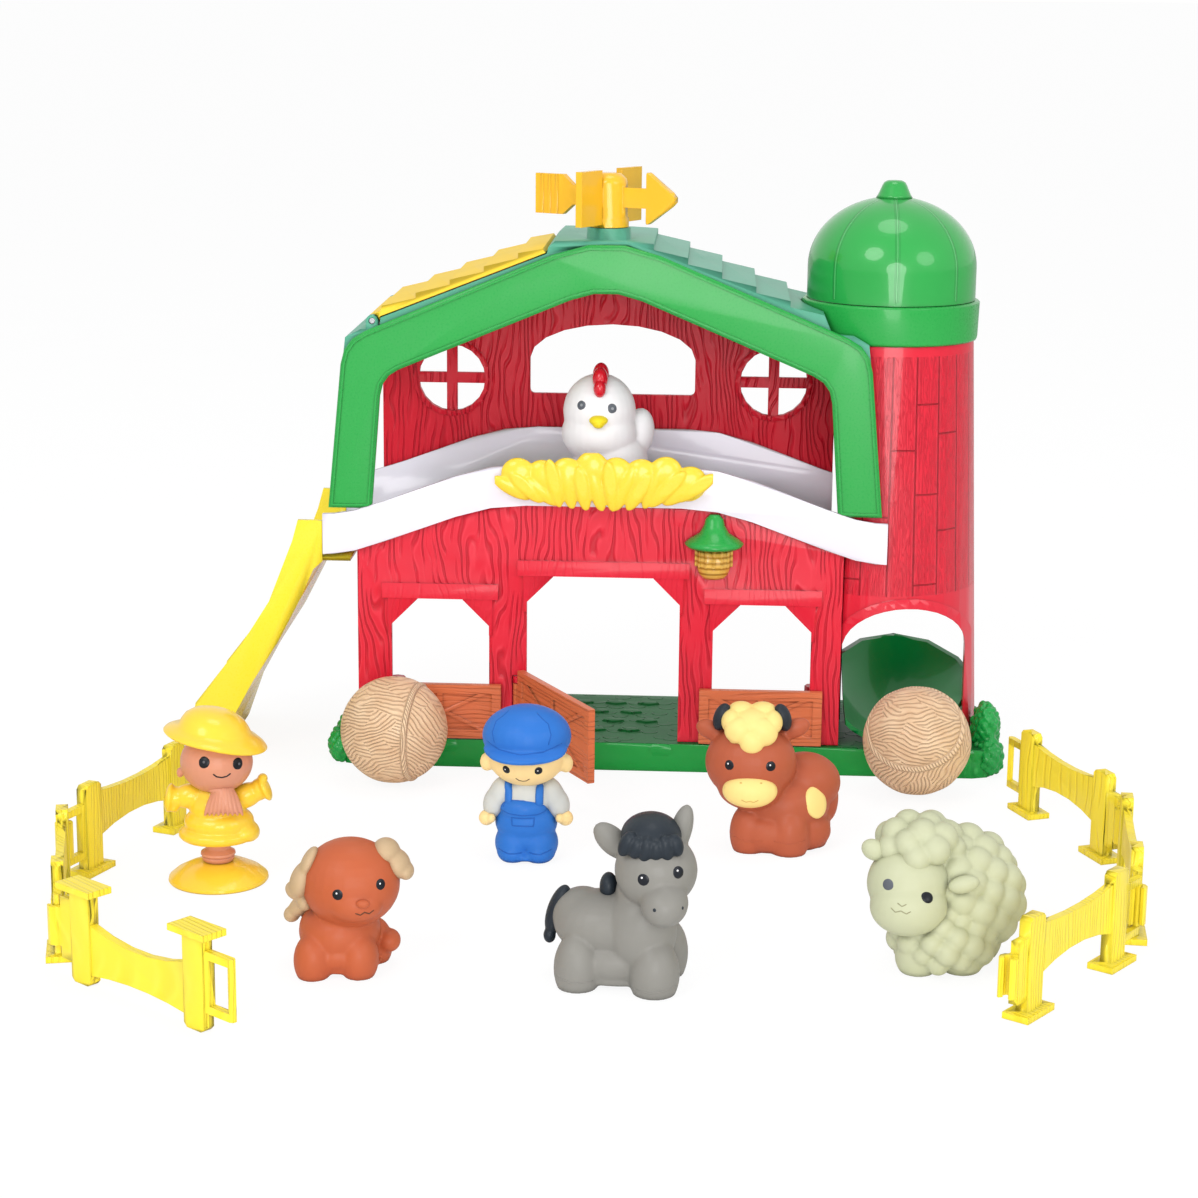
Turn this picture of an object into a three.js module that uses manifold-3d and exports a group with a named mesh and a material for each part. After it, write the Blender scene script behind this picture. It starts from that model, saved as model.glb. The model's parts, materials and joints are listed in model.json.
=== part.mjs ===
import * as THREE from 'three';
import { mergeVertices } from 'three/addons/utils/BufferGeometryUtils.js';
import Module from 'manifold-3d';

// Toy farm playset: a gabled barn with a silo on one base plate, a slide, gates, a roof hatch,
// a weather vane, two ball-shaped hay bales, seven figures, a scarecrow and two chains of fence.
// Millimetres, +Z up. The origin is on the floor under the middle of the barn's front opening,
// half way through the depth of the base. -Y is the front.

const wasm = await Module();
wasm.setup();

// Driving dimensions
const gap = 0.3;             // clearance between pieces that seat on each other
const runningGap = 0.6;      // clearance round a piece that turns
const wall = 2.4;            // moulded wall
const cutOver = 2;           // overrun of a cutting solid past the face it leaves

const baseLeft = -115;
const baseRight = 171;
const baseFront = -40;
const baseBack = 40;
const baseHeight = 12.5;
const baseCorner = 9;

const barnLeft = -107;
const barnRight = 103.4;
const facadeFront = -37;
const barnBack = 36;

const pillarWide = 14.6;     // outer pillar
const pillarInner = 16.4;    // between a side opening and the middle one
const sideOpening = 42.6;
const middleOpening = 66.4;
const sideOpeningTop = 75;
const middleOpeningTop = 86;
const braceSize = 11.5;      // leg of the corner brace in each opening
const braceWide = 3;
const beamHeight = 7;
const beamOverlap = 4;       // how far a lintel runs past its opening
const reliefDeep = 1.3;      // boards that stand out from the wall

const trayTop = 135;         // top edge of the front rail in the middle
const trayRail = 17.5;       // height of the front rail
const trayDrop = 22.5;       // how far the tray falls to its ends
const trayFlatHalf = 49;     // half length of the level middle
const traySlopeEnd = 110;    // where the slope turns level again
const trayEnd = 121.6;
const trayFront = -40;
const trayRailThick = 2.8;
const trayBackRise = 4.6;    // the back rail stands higher

const eaveHeight = 187.4;
const ridgeRise = 43;        // level ridge board over the eave corner
const ridgeHeight = eaveHeight + ridgeRise;
const gableCrest = 4;        // the gable's outer edges would meet this far over the ridge
const gablePeak = ridgeHeight + gableCrest;
const gableHalf = 112;       // half width at the eave corner
const gableBand = 20.5;      // width of the band, square to its edge
const gableLegOut = 119;     // outer foot of the leg
const gableFoot = 114.9;
const gableDeep = 3.6;
const gableBevel = 1;
const roofDeepBack = 39.6;
const roofWall = 2.6;
const ridgeLeft = 22;
const ridgeRight = 8;
const shinglePitch = 14.5;
const shingleLip = 2.6;
const shingleCount = 5;
const firstFoot = 19.6;      // foot of the first shingle, right side
const firstFootDrop = 0.6;
const firstFootHeight = ridgeHeight - firstFootDrop;
const hatchFirstFoot = 37.6; // foot of the hatch's first shingle, left side
const hatchFootDrop = 5.4;
const hatchFirstFootHeight = ridgeHeight - hatchFootDrop;
const eaveInner = 104.8;     // level strip of the roof above the eave
const eaveStripRise = 4.4;
const eaveStrip = eaveHeight + eaveStripRise;
const lastFootRise = 14.8;   // foot of the last shingle over the level strip
const roofFall = (firstFootHeight - eaveStrip - lastFootRise) / (shinglePitch * (shingleCount - 1));
const roofSideRim = 5.5;     // roof left standing beside the hatch's opening

const hatchUpper = 26;
const hatchPinX = -99.8;
const hatchPinRise = 3.6;    // pin over the level strip
const hatchPinZ = eaveStrip + hatchPinRise;
const hatchPinRadius = 1.3;
const hatchBarrel = 2.6;
const hatchThick = 2.2;
const hatchLip = 2.2;
const hatchKnuckle = 4;      // length of the roof's knuckle at each end of the pin
const fingerRecess = 5;

const vaneY = -20;
const vaneHubRadius = 8.2;
const vaneHubLift = 5;       // stub between the ridge and the hub
const vaneHubFoot = ridgeHeight + vaneHubLift;
const vaneHubHigh = 22.6;
const vaneHubTop = vaneHubFoot + vaneHubHigh;
const vaneStubRadius = 9.3;
const vaneBladeThick = 3;
const vanePinRadius = 2.6;
const vaneTailReach = 36;
const vaneArrowReach = 33.5;
const vaneCrossReach = 27;
const vaneBladeHigh = 17;
const vaneArmHigh = 8.4;

const siloX = 122.2;
const siloY = 4;
const siloTopRadius = 36.7;
const siloFootRadius = 44.4;
const siloTop = 187.2;
const siloWall = 2.3;
const siloBackSlot = 44;     // open back, narrower than a ball
const siloBackFrom = 8;      // low down the whole back is open, from this far behind the axis
const archMiddle = 131;
const archHalf = 27.4;
const archSpring = 55;
const archTop = 74.8;
const archTrim = 4.2;
const ringRadius = 38.7;
const ringTop = 204.2;
const ringStep = 1;
const domeRadius = 36.5;
const domeStraight = 13.5;
const domeTop = 248;
const knobHeight = 7;
const knobRadius = 6.6;
const domeRib = 0.6;
const domeRibThick = 1.2;
const domePinRadius = 1.5;
const domeKnuckle = 3.1;
const domeKnuckleLong = 9;

const ballRadius = 24;
const gateThick = 3;
const gateBorder = 4;
const gatePanelInset = 0.8;
const sideGateHigh = 24.2;
const sideGateOverlap = 5.4;
const middleGateLong = 73;
const middleGateHigh = 31.6;
const hingeBarrel = 2.1;
const hingePinRadius = 1;

const slideTopHeight = 109;
const slideRailTopX = -127;
const slideEndX = -179.8;
const slideRail = 2.2;
const slideFloor = 2;
const slideTab = 12;

const lanternX = 47.5;
const lanternTop = 115;
const lanternBrim = 12.8;
const lanternCapFoot = 101;
const lanternGlassRadius = 7.6;
const lanternGlassFoot = 87.4;

const fencePostPitch = 59.4;
const fenceHookReach = 15;   // link axis to the first post
const fenceLoopReach = 17;   // last post to the link axis
const fencePostWide = 10;
const fencePostThick = 4.4;
const fenceHigh = 35.4;
const fenceFootLong = 18;
const fenceFootWide = 9.9;
const fenceFootThick = 2.3;
const fenceRailTop = 30.5;
const fenceRailThick = 3;
const fenceRailEnd = 17.5;   // depth of the rail at a post
const fenceRailMiddle = 11;
const loopHigh = 21.5;
const loopBar = 2.8;
const loopBarRadius = 1.4;
const hookWall = 1.7;
const hookHigh = 14;
const hookPlateHigh = 22;

// Heights of the figures
const farmerHigh = 62;
const calfHigh = 60.5;
const puppyHigh = 49;
const donkeyHigh = 63;
const sheepHigh = 61.5;
const chickenHigh = 55;
const scarecrowHigh = 66.5;

// Colours of the mouldings
const colours = {
  red: 0xe2203a, green: 0x12a048, deepGreen: 0x0a7a36, white: 0xf4f4f8, lemon: 0xffe632,
  maize: 0xfccd44, wood: 0xd06a40, blue: 0x2c72c8, brown: 0xa8563a, terracotta: 0xc86440,
  grey: 0x97958c, wool: 0xcdccaa, hen: 0xf6f4f4, hay: 0xd8af7e, amber: 0xc88c32,
  straw: 0xd89a7c, steel: 0xb8b8bc,
};

const group = new THREE.Group();

// Geometry to solid: the faces are turned outwards and slivers at poles are dropped.
function solid(geometry) {
  const bare = geometry.clone();
  bare.deleteAttribute('normal');
  bare.deleteAttribute('uv');
  const merged = mergeVertices(bare);
  const corners = [];
  for (let i = 0; i < merged.index.count; i += 3) {
    const [a, b, c] = [0, 1, 2].map((step) => merged.index.getX(i + step));
    if (a !== b && b !== c && c !== a) corners.push([a, b, c]);
  }
  const build = (turned) => new wasm.Manifold(new wasm.Mesh({
    numProp: 3,
    vertProperties: new Float32Array(merged.attributes.position.array),
    triVerts: new Uint32Array(corners.flatMap(([a, b, c]) => (turned ? [a, c, b] : [a, b, c]))),
  }));
  const body = build(false);
  return body.volume() < 0 ? build(true) : body;
}

const fuse = (...bodies) => bodies.flat(Infinity).reduce((all, body) => all.add(body));
const cut = (body, ...tools) => tools.flat(Infinity).reduce((left, tool) => left.subtract(tool), body);

// Adds one named piece to the group.
function piece(name, body, colour, look = {}) {
  const mesh = body.getMesh();
  const geometry = new THREE.BufferGeometry();
  geometry.setAttribute('position', new THREE.BufferAttribute(mesh.vertProperties, 3));
  geometry.setIndex(new THREE.BufferAttribute(mesh.triVerts, 1));
  geometry.computeVertexNormals();
  const material = new THREE.MeshStandardMaterial({
    color: colours[colour], roughness: 0.35, metalness: 0, ...look,
  });
  const part = new THREE.Mesh(geometry, material);
  part.name = name;
  group.add(part);
  return part;
}

function box(x0, x1, y0, y1, z0, z1) {
  const geometry = new THREE.BoxGeometry(x1 - x0, y1 - y0, z1 - z0);
  geometry.translate((x0 + x1) / 2, (y0 + y1) / 2, (z0 + z1) / 2);
  return solid(geometry);
}

const polygon = (points) => new THREE.Shape(points.map(([x, y]) => new THREE.Vector2(x, y)));

// A closed outline whose corners are rounded; radii is one value or one for each corner.
function rounded(points, radii) {
  const shape = new THREE.Shape();
  points.forEach((point, i) => {
    const corner = new THREE.Vector2(...point);
    const before = new THREE.Vector2(...points[(i + points.length - 1) % points.length]);
    const after = new THREE.Vector2(...points[(i + 1) % points.length]);
    const radius = Array.isArray(radii) ? radii[i] : radii;
    const half = (other) => Math.min(radius, corner.distanceTo(other) * 0.49);
    const start = corner.clone().lerp(before, half(before) / corner.distanceTo(before));
    const end = corner.clone().lerp(after, half(after) / corner.distanceTo(after));
    if (i === 0) shape.moveTo(start.x, start.y);
    else shape.lineTo(start.x, start.y);
    if (radius > 0) shape.quadraticCurveTo(corner.x, corner.y, end.x, end.y);
  });
  shape.closePath();
  return shape;
}

const asShape = (outline) => (Array.isArray(outline) ? polygon(outline) : outline);

// Outline in X and Z, extruded along Y.
function prism(outline, y0, y1, fineness = 3, bevel = 0) {
  const geometry = new THREE.ExtrudeGeometry(asShape(outline), {
    depth: y1 - y0 - 2 * bevel, bevelEnabled: bevel > 0, bevelThickness: bevel, bevelSize: bevel,
    bevelOffset: -bevel, bevelSegments: 1, curveSegments: fineness,
  });
  geometry.rotateX(Math.PI / 2);
  geometry.translate(0, y1 - bevel, 0);
  return solid(geometry);
}

// Outline in Y and Z, extruded along X.
function sidePrism(outline, x0, x1) {
  const geometry = new THREE.ExtrudeGeometry(polygon(outline), { depth: x1 - x0, bevelEnabled: false });
  geometry.applyMatrix4(new THREE.Matrix4().makeBasis(new THREE.Vector3(0, 1, 0),
    new THREE.Vector3(0, 0, 1), new THREE.Vector3(1, 0, 0)));
  geometry.translate(x0, 0, 0);
  return solid(geometry);
}

// Outline in X and Y, extruded upwards.
function plate(outline, z0, z1, fineness = 3) {
  const geometry = new THREE.ExtrudeGeometry(asShape(outline), {
    depth: z1 - z0, bevelEnabled: false, curveSegments: fineness,
  });
  geometry.translate(0, 0, z0);
  return solid(geometry);
}

// Profile of radius and height, revolved about a vertical axis.
function revolve(profile, x, y, sides = 24) {
  const geometry = new THREE.LatheGeometry(profile.map(([r, z]) => new THREE.Vector2(r, z)), sides);
  geometry.rotateX(Math.PI / 2);
  geometry.translate(x, y, 0);
  return solid(geometry);
}

// Upright round bar or cone frustum.
function post(x, y, z0, z1, radius, sides = 12, topRadius = radius) {
  const geometry = new THREE.CylinderGeometry(topRadius, radius, z1 - z0, sides);
  geometry.rotateX(Math.PI / 2);
  geometry.translate(x, y, (z0 + z1) / 2);
  return solid(geometry);
}

// Level round bar along X or Y.
function bar(axis, from, to, a, z, radius, sides = 12) {
  const geometry = new THREE.CylinderGeometry(radius, radius, to - from, sides);
  if (axis === 'x') {
    geometry.rotateZ(Math.PI / 2);
    geometry.translate((from + to) / 2, a, z);
  } else {
    geometry.translate(a, (from + to) / 2, z);
  }
  return solid(geometry);
}

// Ellipsoid, tilted about its own X, Y and Z in degrees.
function egg(centre, radii, tilt = [0, 0, 0], sides = 10, rows = 7) {
  const geometry = new THREE.SphereGeometry(1, sides, rows);
  geometry.rotateX(Math.PI / 2);
  geometry.scale(...radii);
  const turn = tilt.map((angle) => THREE.MathUtils.degToRad(angle));
  geometry.applyMatrix4(new THREE.Matrix4().makeRotationFromEuler(new THREE.Euler(...turn)));
  geometry.translate(...centre);
  return solid(geometry);
}

// Base plate: hollow below with ribs, cobbled floor, grass along the front and a bush at each end.
function makeBase() {
  const outline = (inset) => rounded([
    [baseLeft + inset, baseFront + inset], [baseRight - inset, baseFront + inset],
    [baseRight - inset, baseBack - inset], [baseLeft + inset, baseBack - inset],
  ], baseCorner - inset);
  const ribThick = 2;
  const padRadius = 7;
  const grassRadius = 4.2;
  const grassPitch = 47;
  const bushRadius = 6.5;
  const bushHeight = 28;
  const cobbleRadius = 4.8;
  const cobblePitch = 15;
  const cobbleHigh = 0.7;
  const hollowTop = baseHeight - wall;
  const hollow = plate(outline(wall), -cutOver, hollowTop, 2);
  let base = cut(plate(outline(0), 0, baseHeight, 2), hollow);
  const ribX = (baseLeft + baseRight) / 2;
  const ribTop = hollowTop + wall / 2;
  base = fuse(base, post(0, 0, 0, ribTop, padRadius, 16),
    box(baseLeft + wall / 2, baseRight - wall / 2, -ribThick / 2, ribThick / 2, 0, ribTop),
    box(ribX - ribThick / 2, ribX + ribThick / 2, baseFront + wall / 2, baseBack - wall / 2, 0, ribTop));
  const grass = [];
  for (let x = baseLeft + grassPitch; x < baseRight - grassPitch / 2; x += grassPitch) {
    grass.push(egg([x, baseFront + grassRadius * 0.6, baseHeight - grassRadius * 0.6],
      [grassRadius * 2.2, grassRadius, grassRadius], [0, 0, 0], 6, 4));
  }
  const bushes = [
    [baseLeft, 1.6, bushRadius, 0.8, 1.5, bushRadius],
    [baseLeft, 4.4, bushRadius, 0.7, 1.6, bushRadius * 1.1],
    [baseRight - bushRadius * 0.2, 1.4, bushRadius * 1.1, 0.8, 1.3, bushRadius * 1.2],
    [baseRight - bushRadius * 0.4, 3, bushHeight / 2, 0.8, 1.4, bushHeight / 2],
  ].map(([x, inward, z, wideShare, longShare, high]) => egg([x, baseFront + bushRadius * inward, z],
    [bushRadius * wideShare, bushRadius * longShare, high], [0, 0, 0], 6, 5));
  const cobbles = [];
  const rows = Math.floor((baseBack - facadeFront) / cobblePitch) - 1;
  const columns = Math.floor(middleOpening / cobblePitch) - 1;
  for (let row = 0; row < rows; row += 1) {
    for (let column = 0; column < columns; column += 1) {
      const x = (column - columns / 2 + 0.25 + 0.5 * (row % 2)) * cobblePitch;
      const y = facadeFront + (row + 1.2) * cobblePitch;
      const stone = new THREE.CylinderGeometry(cobbleRadius * 0.8, cobbleRadius, cobbleHigh * 2, 5);
      stone.rotateX(Math.PI / 2);
      stone.scale(1.25, 0.8, 1);
      stone.translate(x, y, baseHeight);
      cobbles.push(solid(stone));
    }
  }
  const doorstep = box(baseLeft * 2, baseRight * 2, facadeFront - gateThick - 3 * gap, baseBack * 2,
    baseHeight, baseHeight * 3);
  base = fuse(base, grass.map((lump) => cut(lump, doorstep, hollow)), bushes.map((bush) => cut(bush, hollow)),
    cobbles);
  // the lumps end at the floor
  base = cut(base, box(baseLeft - baseCorner * 2, baseRight + baseCorner * 2, baseFront * 2, baseBack * 2,
    -baseHeight * 2, 0));
  base = cut(base, screwPlaces.map(([x, y]) => [
    post(x, y, -cutOver, baseHeight + cutOver, screwRadius + gap, 8),
  ]));
  // round sockets stiffen the plate round each screw
  const sockets = screwPlaces.map(([x, y]) => cut(
    post(x, y, screwHeadHigh + gap * 2, hollowTop + wall / 2, screwSocket, 8),
    post(x, y, 0, baseHeight + cutOver, screwRadius + gap, 8),
  ));
  return fuse(base, sockets);
}

// Screws from below hold the walls on the base.
const screwRadius = 1.5;
const screwHead = 2.9;
const screwHeadHigh = 2;
const screwSocket = 4.2;
const screwBite = 7.5;
const bossRadius = 4;
const bossInset = 9;
const screwPlaces = [
  [barnLeft + bossInset, facadeFront + bossInset], [barnRight - bossInset, facadeFront + bossInset],
  [barnLeft + bossInset, barnBack - bossInset], [barnRight - bossInset, barnBack - bossInset],
];

function makeScrew([x, y]) {
  const foot = gap * 2;
  return revolve([
    [0, foot], [screwHead * 0.8, foot], [screwHead, foot + screwHeadHigh * 0.4],
    [screwHead, foot + screwHeadHigh - gap * 2], [screwRadius, foot + screwHeadHigh - gap * 2],
    [screwRadius, baseHeight + screwBite - screwRadius], [0, baseHeight + screwBite],
  ], x, y, 8);
}

// The tray's curve: level in the middle, falling to both ends.
function trayLine(lift, reach = trayEnd) {
  const end = trayTop - trayDrop + lift;
  const middle = trayTop + lift;
  return [[-reach, end - trayDrop * 0.02], [-traySlopeEnd, end], [-trayFlatHalf, middle],
    [trayFlatHalf, middle], [traySlopeEnd, end], [reach, end - trayDrop * 0.02]];
}

// A band between two tray curves, cut off at left and right.
function trayBand(low, high, y0, y1, left = -trayEnd, right = trayEnd) {
  const reach = trayEnd + cutOver;
  const bend = trayRail * 0.9;
  const outline = rounded([...trayLine(low, reach), ...trayLine(high, reach).reverse()],
    [0, bend, bend, bend, bend, 0, 0, bend, bend, bend, bend, 0]);
  const band = prism(outline, y0, y1, 2);
  const outside = trayTop * 2;
  return cut(band, box(-outside, left, y0 - cutOver, y1 + cutOver, 0, outside),
    box(right, outside, y0 - cutOver, y1 + cutOver, 0, outside));
}

const trayBottom = -trayRail;
const trayFloorThick = wall;

function makeTray() {
  const front = trayBand(trayBottom, 0, trayFront, trayFront + trayRailThick);
  const floor = trayBand(trayBottom, trayBottom + trayFloorThick, trayFront + trayRailThick / 2, barnBack,
    -trayEnd, barnRight - wall - gap);
  const back = trayBand(trayBottom, trayBackRise, barnBack - trayRailThick, barnBack, -trayEnd,
    barnRight - wall - gap);
  return fuse(front, floor, back);
}

// Openings in the barn's front, from left to right: middle, half width, top.
const sideOpeningMiddle = middleOpening / 2 + pillarInner + sideOpening / 2;
const openings = [
  { x: -sideOpeningMiddle, half: sideOpening / 2, top: sideOpeningTop },
  { x: 0, half: middleOpening / 2, top: middleOpeningTop },
  { x: sideOpeningMiddle - (pillarInner - pillarWide), half: sideOpening / 2, top: sideOpeningTop },
];

function makeBarnWall() {
  const foot = baseHeight + gap;
  const backPost = pillarWide * 0.3;
  const under = trayBottom - gap;
  const skin = facadeFront + wall;
  const full = cut(trayBand(-trayTop * 2, under, facadeFront, skin, barnLeft, barnRight),
    box(-trayEnd * 2, trayEnd * 2, facadeFront - cutOver, skin + cutOver, -trayTop * 3, foot));
  const side = (x0, x1, y0, y1) => cut(trayBand(-trayTop * 2, under, y0, y1, x0, x1),
    box(-trayEnd * 2, trayEnd * 2, y0 - cutOver, y1 + cutOver, -trayTop * 3, foot));
  const doors = openings.map(({ x, half, top }) => prism([
    [x - half, -cutOver], [x + half, -cutOver], [x + half, top - braceSize],
    [x + half - braceSize, top], [x - half + braceSize, top], [x - half, top - braceSize],
  ], facadeFront - cutOver, skin + cutOver));
  const boards = openings.flatMap(({ x, half, top }) => {
    const face = [facadeFront - reliefDeep, facadeFront + wall / 2];
    const brace = (sign) => prism([
      [x + sign * half, top - braceSize - braceWide * 1.4], [x + sign * half, top - braceSize],
      [x + sign * (half - braceSize), top], [x + sign * (half - braceSize), top + braceWide * 0.5],
      [x + sign * (half + braceWide * 0.5), top + braceWide * 0.5],
      [x + sign * (half + braceWide * 0.5), top - braceSize - braceWide * 1.4],
    ], ...face);
    return [brace(-1), brace(1), box(x - half - beamOverlap, x + half + beamOverlap, face[0] - reliefDeep * 0.4,
      face[1], top + braceWide * 0.1, top + beamHeight)];
  });
  const bosses = screwPlaces.map(([x, y]) => {
    const toWall = x < 0 ? barnLeft + wall / 2 : barnRight - wall / 2;
    const top = foot + screwBite * 1.3;
    return cut(fuse(post(x, y, foot, top, bossRadius, 8),
      box(Math.min(x, toWall), Math.max(x, toWall), y - wall / 2, y + wall / 2, foot, top)),
    post(x, y, foot - cutOver, baseHeight + screwBite + gap * 2, screwRadius + gap / 2, 8));
  });
  const walls = fuse(
    cut(full, doors), boards,
    side(barnLeft, barnLeft + wall, facadeFront, barnBack),
    side(barnRight - wall, barnRight, facadeFront, barnBack),
    side(barnLeft, barnLeft + backPost, barnBack - wall, barnBack),
    side(barnRight - backPost, barnRight, barnBack - wall, barnBack), bosses,
  );
  // slot for the middle gate's hinge, and peg holes of the fixed gates and the lantern
  const slot = box(gateHingeX - hingeBarrel - runningGap, gateHingeX + hingeBarrel + runningGap,
    facadeFront - reliefDeep * 2, skin + cutOver, hingeLow - lugHigh - gap, hingeHigh + lugHigh + gap);
  return cut(walls, slot, sideGatePegs(gap), lanternPeg(gap));
}

// Middle gate: its barrel sits in a slot of the left inner pillar, on a pin between two lugs.
const gateHingeX = -middleOpening / 2 - hingeBarrel * 1.7;
const gateHingeY = facadeFront - gap - gateThick / 2;
const gateFoot = baseHeight + gap * 2;
const barrelFrom = middleGateHigh * 0.2;
const barrelTo = middleGateHigh * 0.8;
const hingeLow = gateFoot + barrelFrom - gap;
const hingeHigh = gateFoot + barrelTo + gap;
const lugHigh = 2.4;

function gatePanel(long, high, thick) {
  const inset = gatePanelInset;
  const frame = box(0, long, -thick / 2, thick / 2, 0, high);
  const inner = [gateBorder, long - gateBorder, gateBorder, high - gateBorder];
  const recess = (y0, y1) => box(inner[0], inner[1], y0, y1, inner[2], inner[3]);
  const panel = cut(frame, recess(-thick, -thick / 2 + inset), recess(thick / 2 - inset, thick));
  const brace = (fromX, toX) => {
    const wide = gateBorder * 0.45;
    return prism([
      [fromX - wide, inner[2] - wide / 2], [fromX + wide, inner[2] - wide / 2],
      [toX + wide, high / 2], [fromX + wide, inner[3] + wide / 2], [fromX - wide, inner[3] + wide / 2],
      [toX - wide, high / 2],
    ], -thick / 2, thick / 2);
  };
  const middle = long / 2;
  return fuse(panel, brace(inner[0] + gateBorder / 2, middle - gateBorder / 2),
    brace(inner[1] - gateBorder / 2, middle + gateBorder / 2),
    box(middle - gateBorder * 0.3, middle + gateBorder * 0.3, -thick / 2, thick / 2, gateBorder / 2,
      high - gateBorder / 2));
}

function makeMiddleGate() {
  const start = hingeBarrel + runningGap;
  const leaf = gatePanel(middleGateLong - start, middleGateHigh, gateThick);
  const moved = leaf.translate([start, 0, 0]);
  const arm = box(0, start + gateBorder / 2, -gateThick / 2, gateThick / 2, barrelFrom, barrelTo);
  const barrel = post(0, 0, barrelFrom, barrelTo, hingeBarrel, 14);
  return cut(fuse(moved, arm, barrel), post(0, 0, 0, middleGateHigh, hingePinRadius + gap, 10));
}

// Two small lugs on the pillar carry the pin of the middle gate.
function makeGateHinge() {
  const lug = (z0) => fuse(
    post(gateHingeX, gateHingeY, z0, z0 + lugHigh, hingeBarrel, 12),
    box(gateHingeX - hingeBarrel, gateHingeX + hingeBarrel, gateHingeY, facadeFront + wall * 1.8, z0,
      z0 + lugHigh),
  );
  const spine = box(gateHingeX - hingeBarrel * 2, gateHingeX + hingeBarrel * 2, facadeFront + wall + gap,
    facadeFront + wall * 1.8, hingeLow - lugHigh, hingeHigh + lugHigh);
  const pin = post(gateHingeX, gateHingeY, hingeLow - lugHigh / 2, hingeHigh + lugHigh / 2,
    hingePinRadius, 10);
  return fuse(lug(hingeLow - lugHigh), lug(hingeHigh), spine, pin);
}

// Fixed low gates across the two side openings, held by pegs in the pillars.
const sideGateLong = sideOpening + 2 * sideGateOverlap;
const sideGateY = facadeFront - gap - gateThick / 2;
const pegRadius = 1.4;
const pegLong = 4;

function sideGatePegs(grow) {
  return [openings[0], openings[2]].flatMap(({ x, half }) => [-1, 1].map((sign) => bar('y',
    sideGateY, facadeFront + wall + (grow > 0 ? cutOver : 0), x + sign * (half + sideGateOverlap * 0.45),
    gateFoot + sideGateHigh / 2, pegRadius + grow, 8)));
}

function makeSideGate(index) {
  const { x } = openings[index];
  const leaf = gatePanel(sideGateLong, sideGateHigh, gateThick)
    .translate([x - sideGateLong / 2, sideGateY, gateFoot]);
  const pegs = sideGatePegs(0).slice(index === 0 ? 0 : 2, index === 0 ? 2 : 4);
  return fuse(leaf, pegs);
}

// Silo: a leaning cone shell, round in front, flat against the barn and open at the back.
function coneBody(topRadius, footRadius, z0, z1) {
  return post(siloX, siloY, z0, z1, footRadius, 28, topRadius);
}

function archShape(grow, foot) {
  const half = archHalf + grow;
  const shape = new THREE.Shape();
  shape.moveTo(archMiddle - half, foot);
  shape.lineTo(archMiddle + half, foot);
  shape.lineTo(archMiddle + half, archSpring);
  shape.absellipse(archMiddle, archSpring, half, archTop - archSpring + grow, 0, Math.PI, false, 0);
  shape.closePath();
  return shape;
}

function makeSilo() {
  const foot = baseHeight + gap;
  const flat = barnRight + gap;
  const outside = siloFootRadius * 3;
  const outer = coneBody(siloTopRadius, siloFootRadius, foot, siloTop);
  const slope = (siloFootRadius - siloTopRadius) / (siloTop - foot) * cutOver;
  const inner = coneBody(siloTopRadius - siloWall - slope, siloFootRadius - siloWall + slope,
    foot - cutOver, siloTop + cutOver);
  const beyond = box(siloX - outside, flat, siloY - outside, siloY + outside, 0, siloTop + cutOver);
  const shell = cut(outer, inner, beyond);
  const flatWall = cut(outer, beyond, box(flat + siloWall, siloX + outside, siloY - outside,
    siloY + outside, 0, siloTop + cutOver));
  const trim = cut(
    coneBody(siloTopRadius + reliefDeep, siloFootRadius + reliefDeep, foot, siloTop)
      .intersect(prism(archShape(archTrim, 0), siloY - outside, siloY, 9)), inner, beyond,
    box(siloX - outside, siloX + outside, siloY - outside, siloY + outside, -cutOver, foot + gap),
  );
  const body = cut(fuse(shell, flatWall, trim),
    prism(archShape(0, -cutOver), siloY - outside, siloY, 9),
    box(siloX - siloBackSlot / 2, siloX + siloBackSlot / 2, siloY, siloY + outside, 0, siloTop
      - siloBackSlot / 2),
    box(flat + siloWall, siloX + outside, siloY + siloBackFrom, siloY + outside, 0, archTop + archTrim));
  // room for the tray's end and the gable's foot in front
  const front = [trayBand(trayBottom - gap, 2 * gap, -siloFootRadius, trayFront + trayRailThick + gap,
    -trayEnd, trayEnd + gap), gableSolid(gap, trayFront - cutOver, trayFront + gableDeep + gap)];
  return cut(body, front);
}

// The chute is a trough that turns a falling ball out through the arch.
function makeChute() {
  const foot = baseHeight + gap;
  const rimHeight = 46;
  const rimTilt = 0.2;
  const sheet = 2.2;
  const reach = 76;
  const troughWide = 42;
  const depth = 48;
  const startY = facadeFront;
  const centre = [archMiddle, startY, foot + sheet * 0.8 + depth];
  const room = cut(coneBody(siloTopRadius - siloWall - gap, siloFootRadius - siloWall - gap, foot, siloTop),
    box(-siloX, barnRight + gap * 2 + siloWall, -siloFootRadius * 2, siloFootRadius * 2, 0, siloTop * 2),
    box(0, siloX * 2, -siloFootRadius * 2, startY + gap, 0, siloTop * 2));
  const under = egg(centre, [troughWide + sheet, reach + sheet, depth + sheet], [0, 0, 0], 16, 12);
  const over = egg(centre, [troughWide, reach, depth], [0, 0, 0], 16, 12);
  const farZ = rimHeight;
  const nearZ = rimHeight - rimTilt * (barnBack - startY);
  const above = sidePrism([[startY - reach, nearZ - rimTilt * reach], [barnBack, farZ],
    [barnBack + reach, farZ + rimTilt * reach], [barnBack + reach, siloTop], [startY - reach, siloTop]],
  barnRight - siloFootRadius, siloX + siloFootRadius * 2);
  return cut(room.intersect(under), over, above);
}

// Green ring on the silo's top, with a part floor over the barn side and lugs for the dome's pin.
const domePinY = siloY + ringRadius + domeKnuckle + runningGap;
const domePinZ = ringTop + gap / 2;

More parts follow.
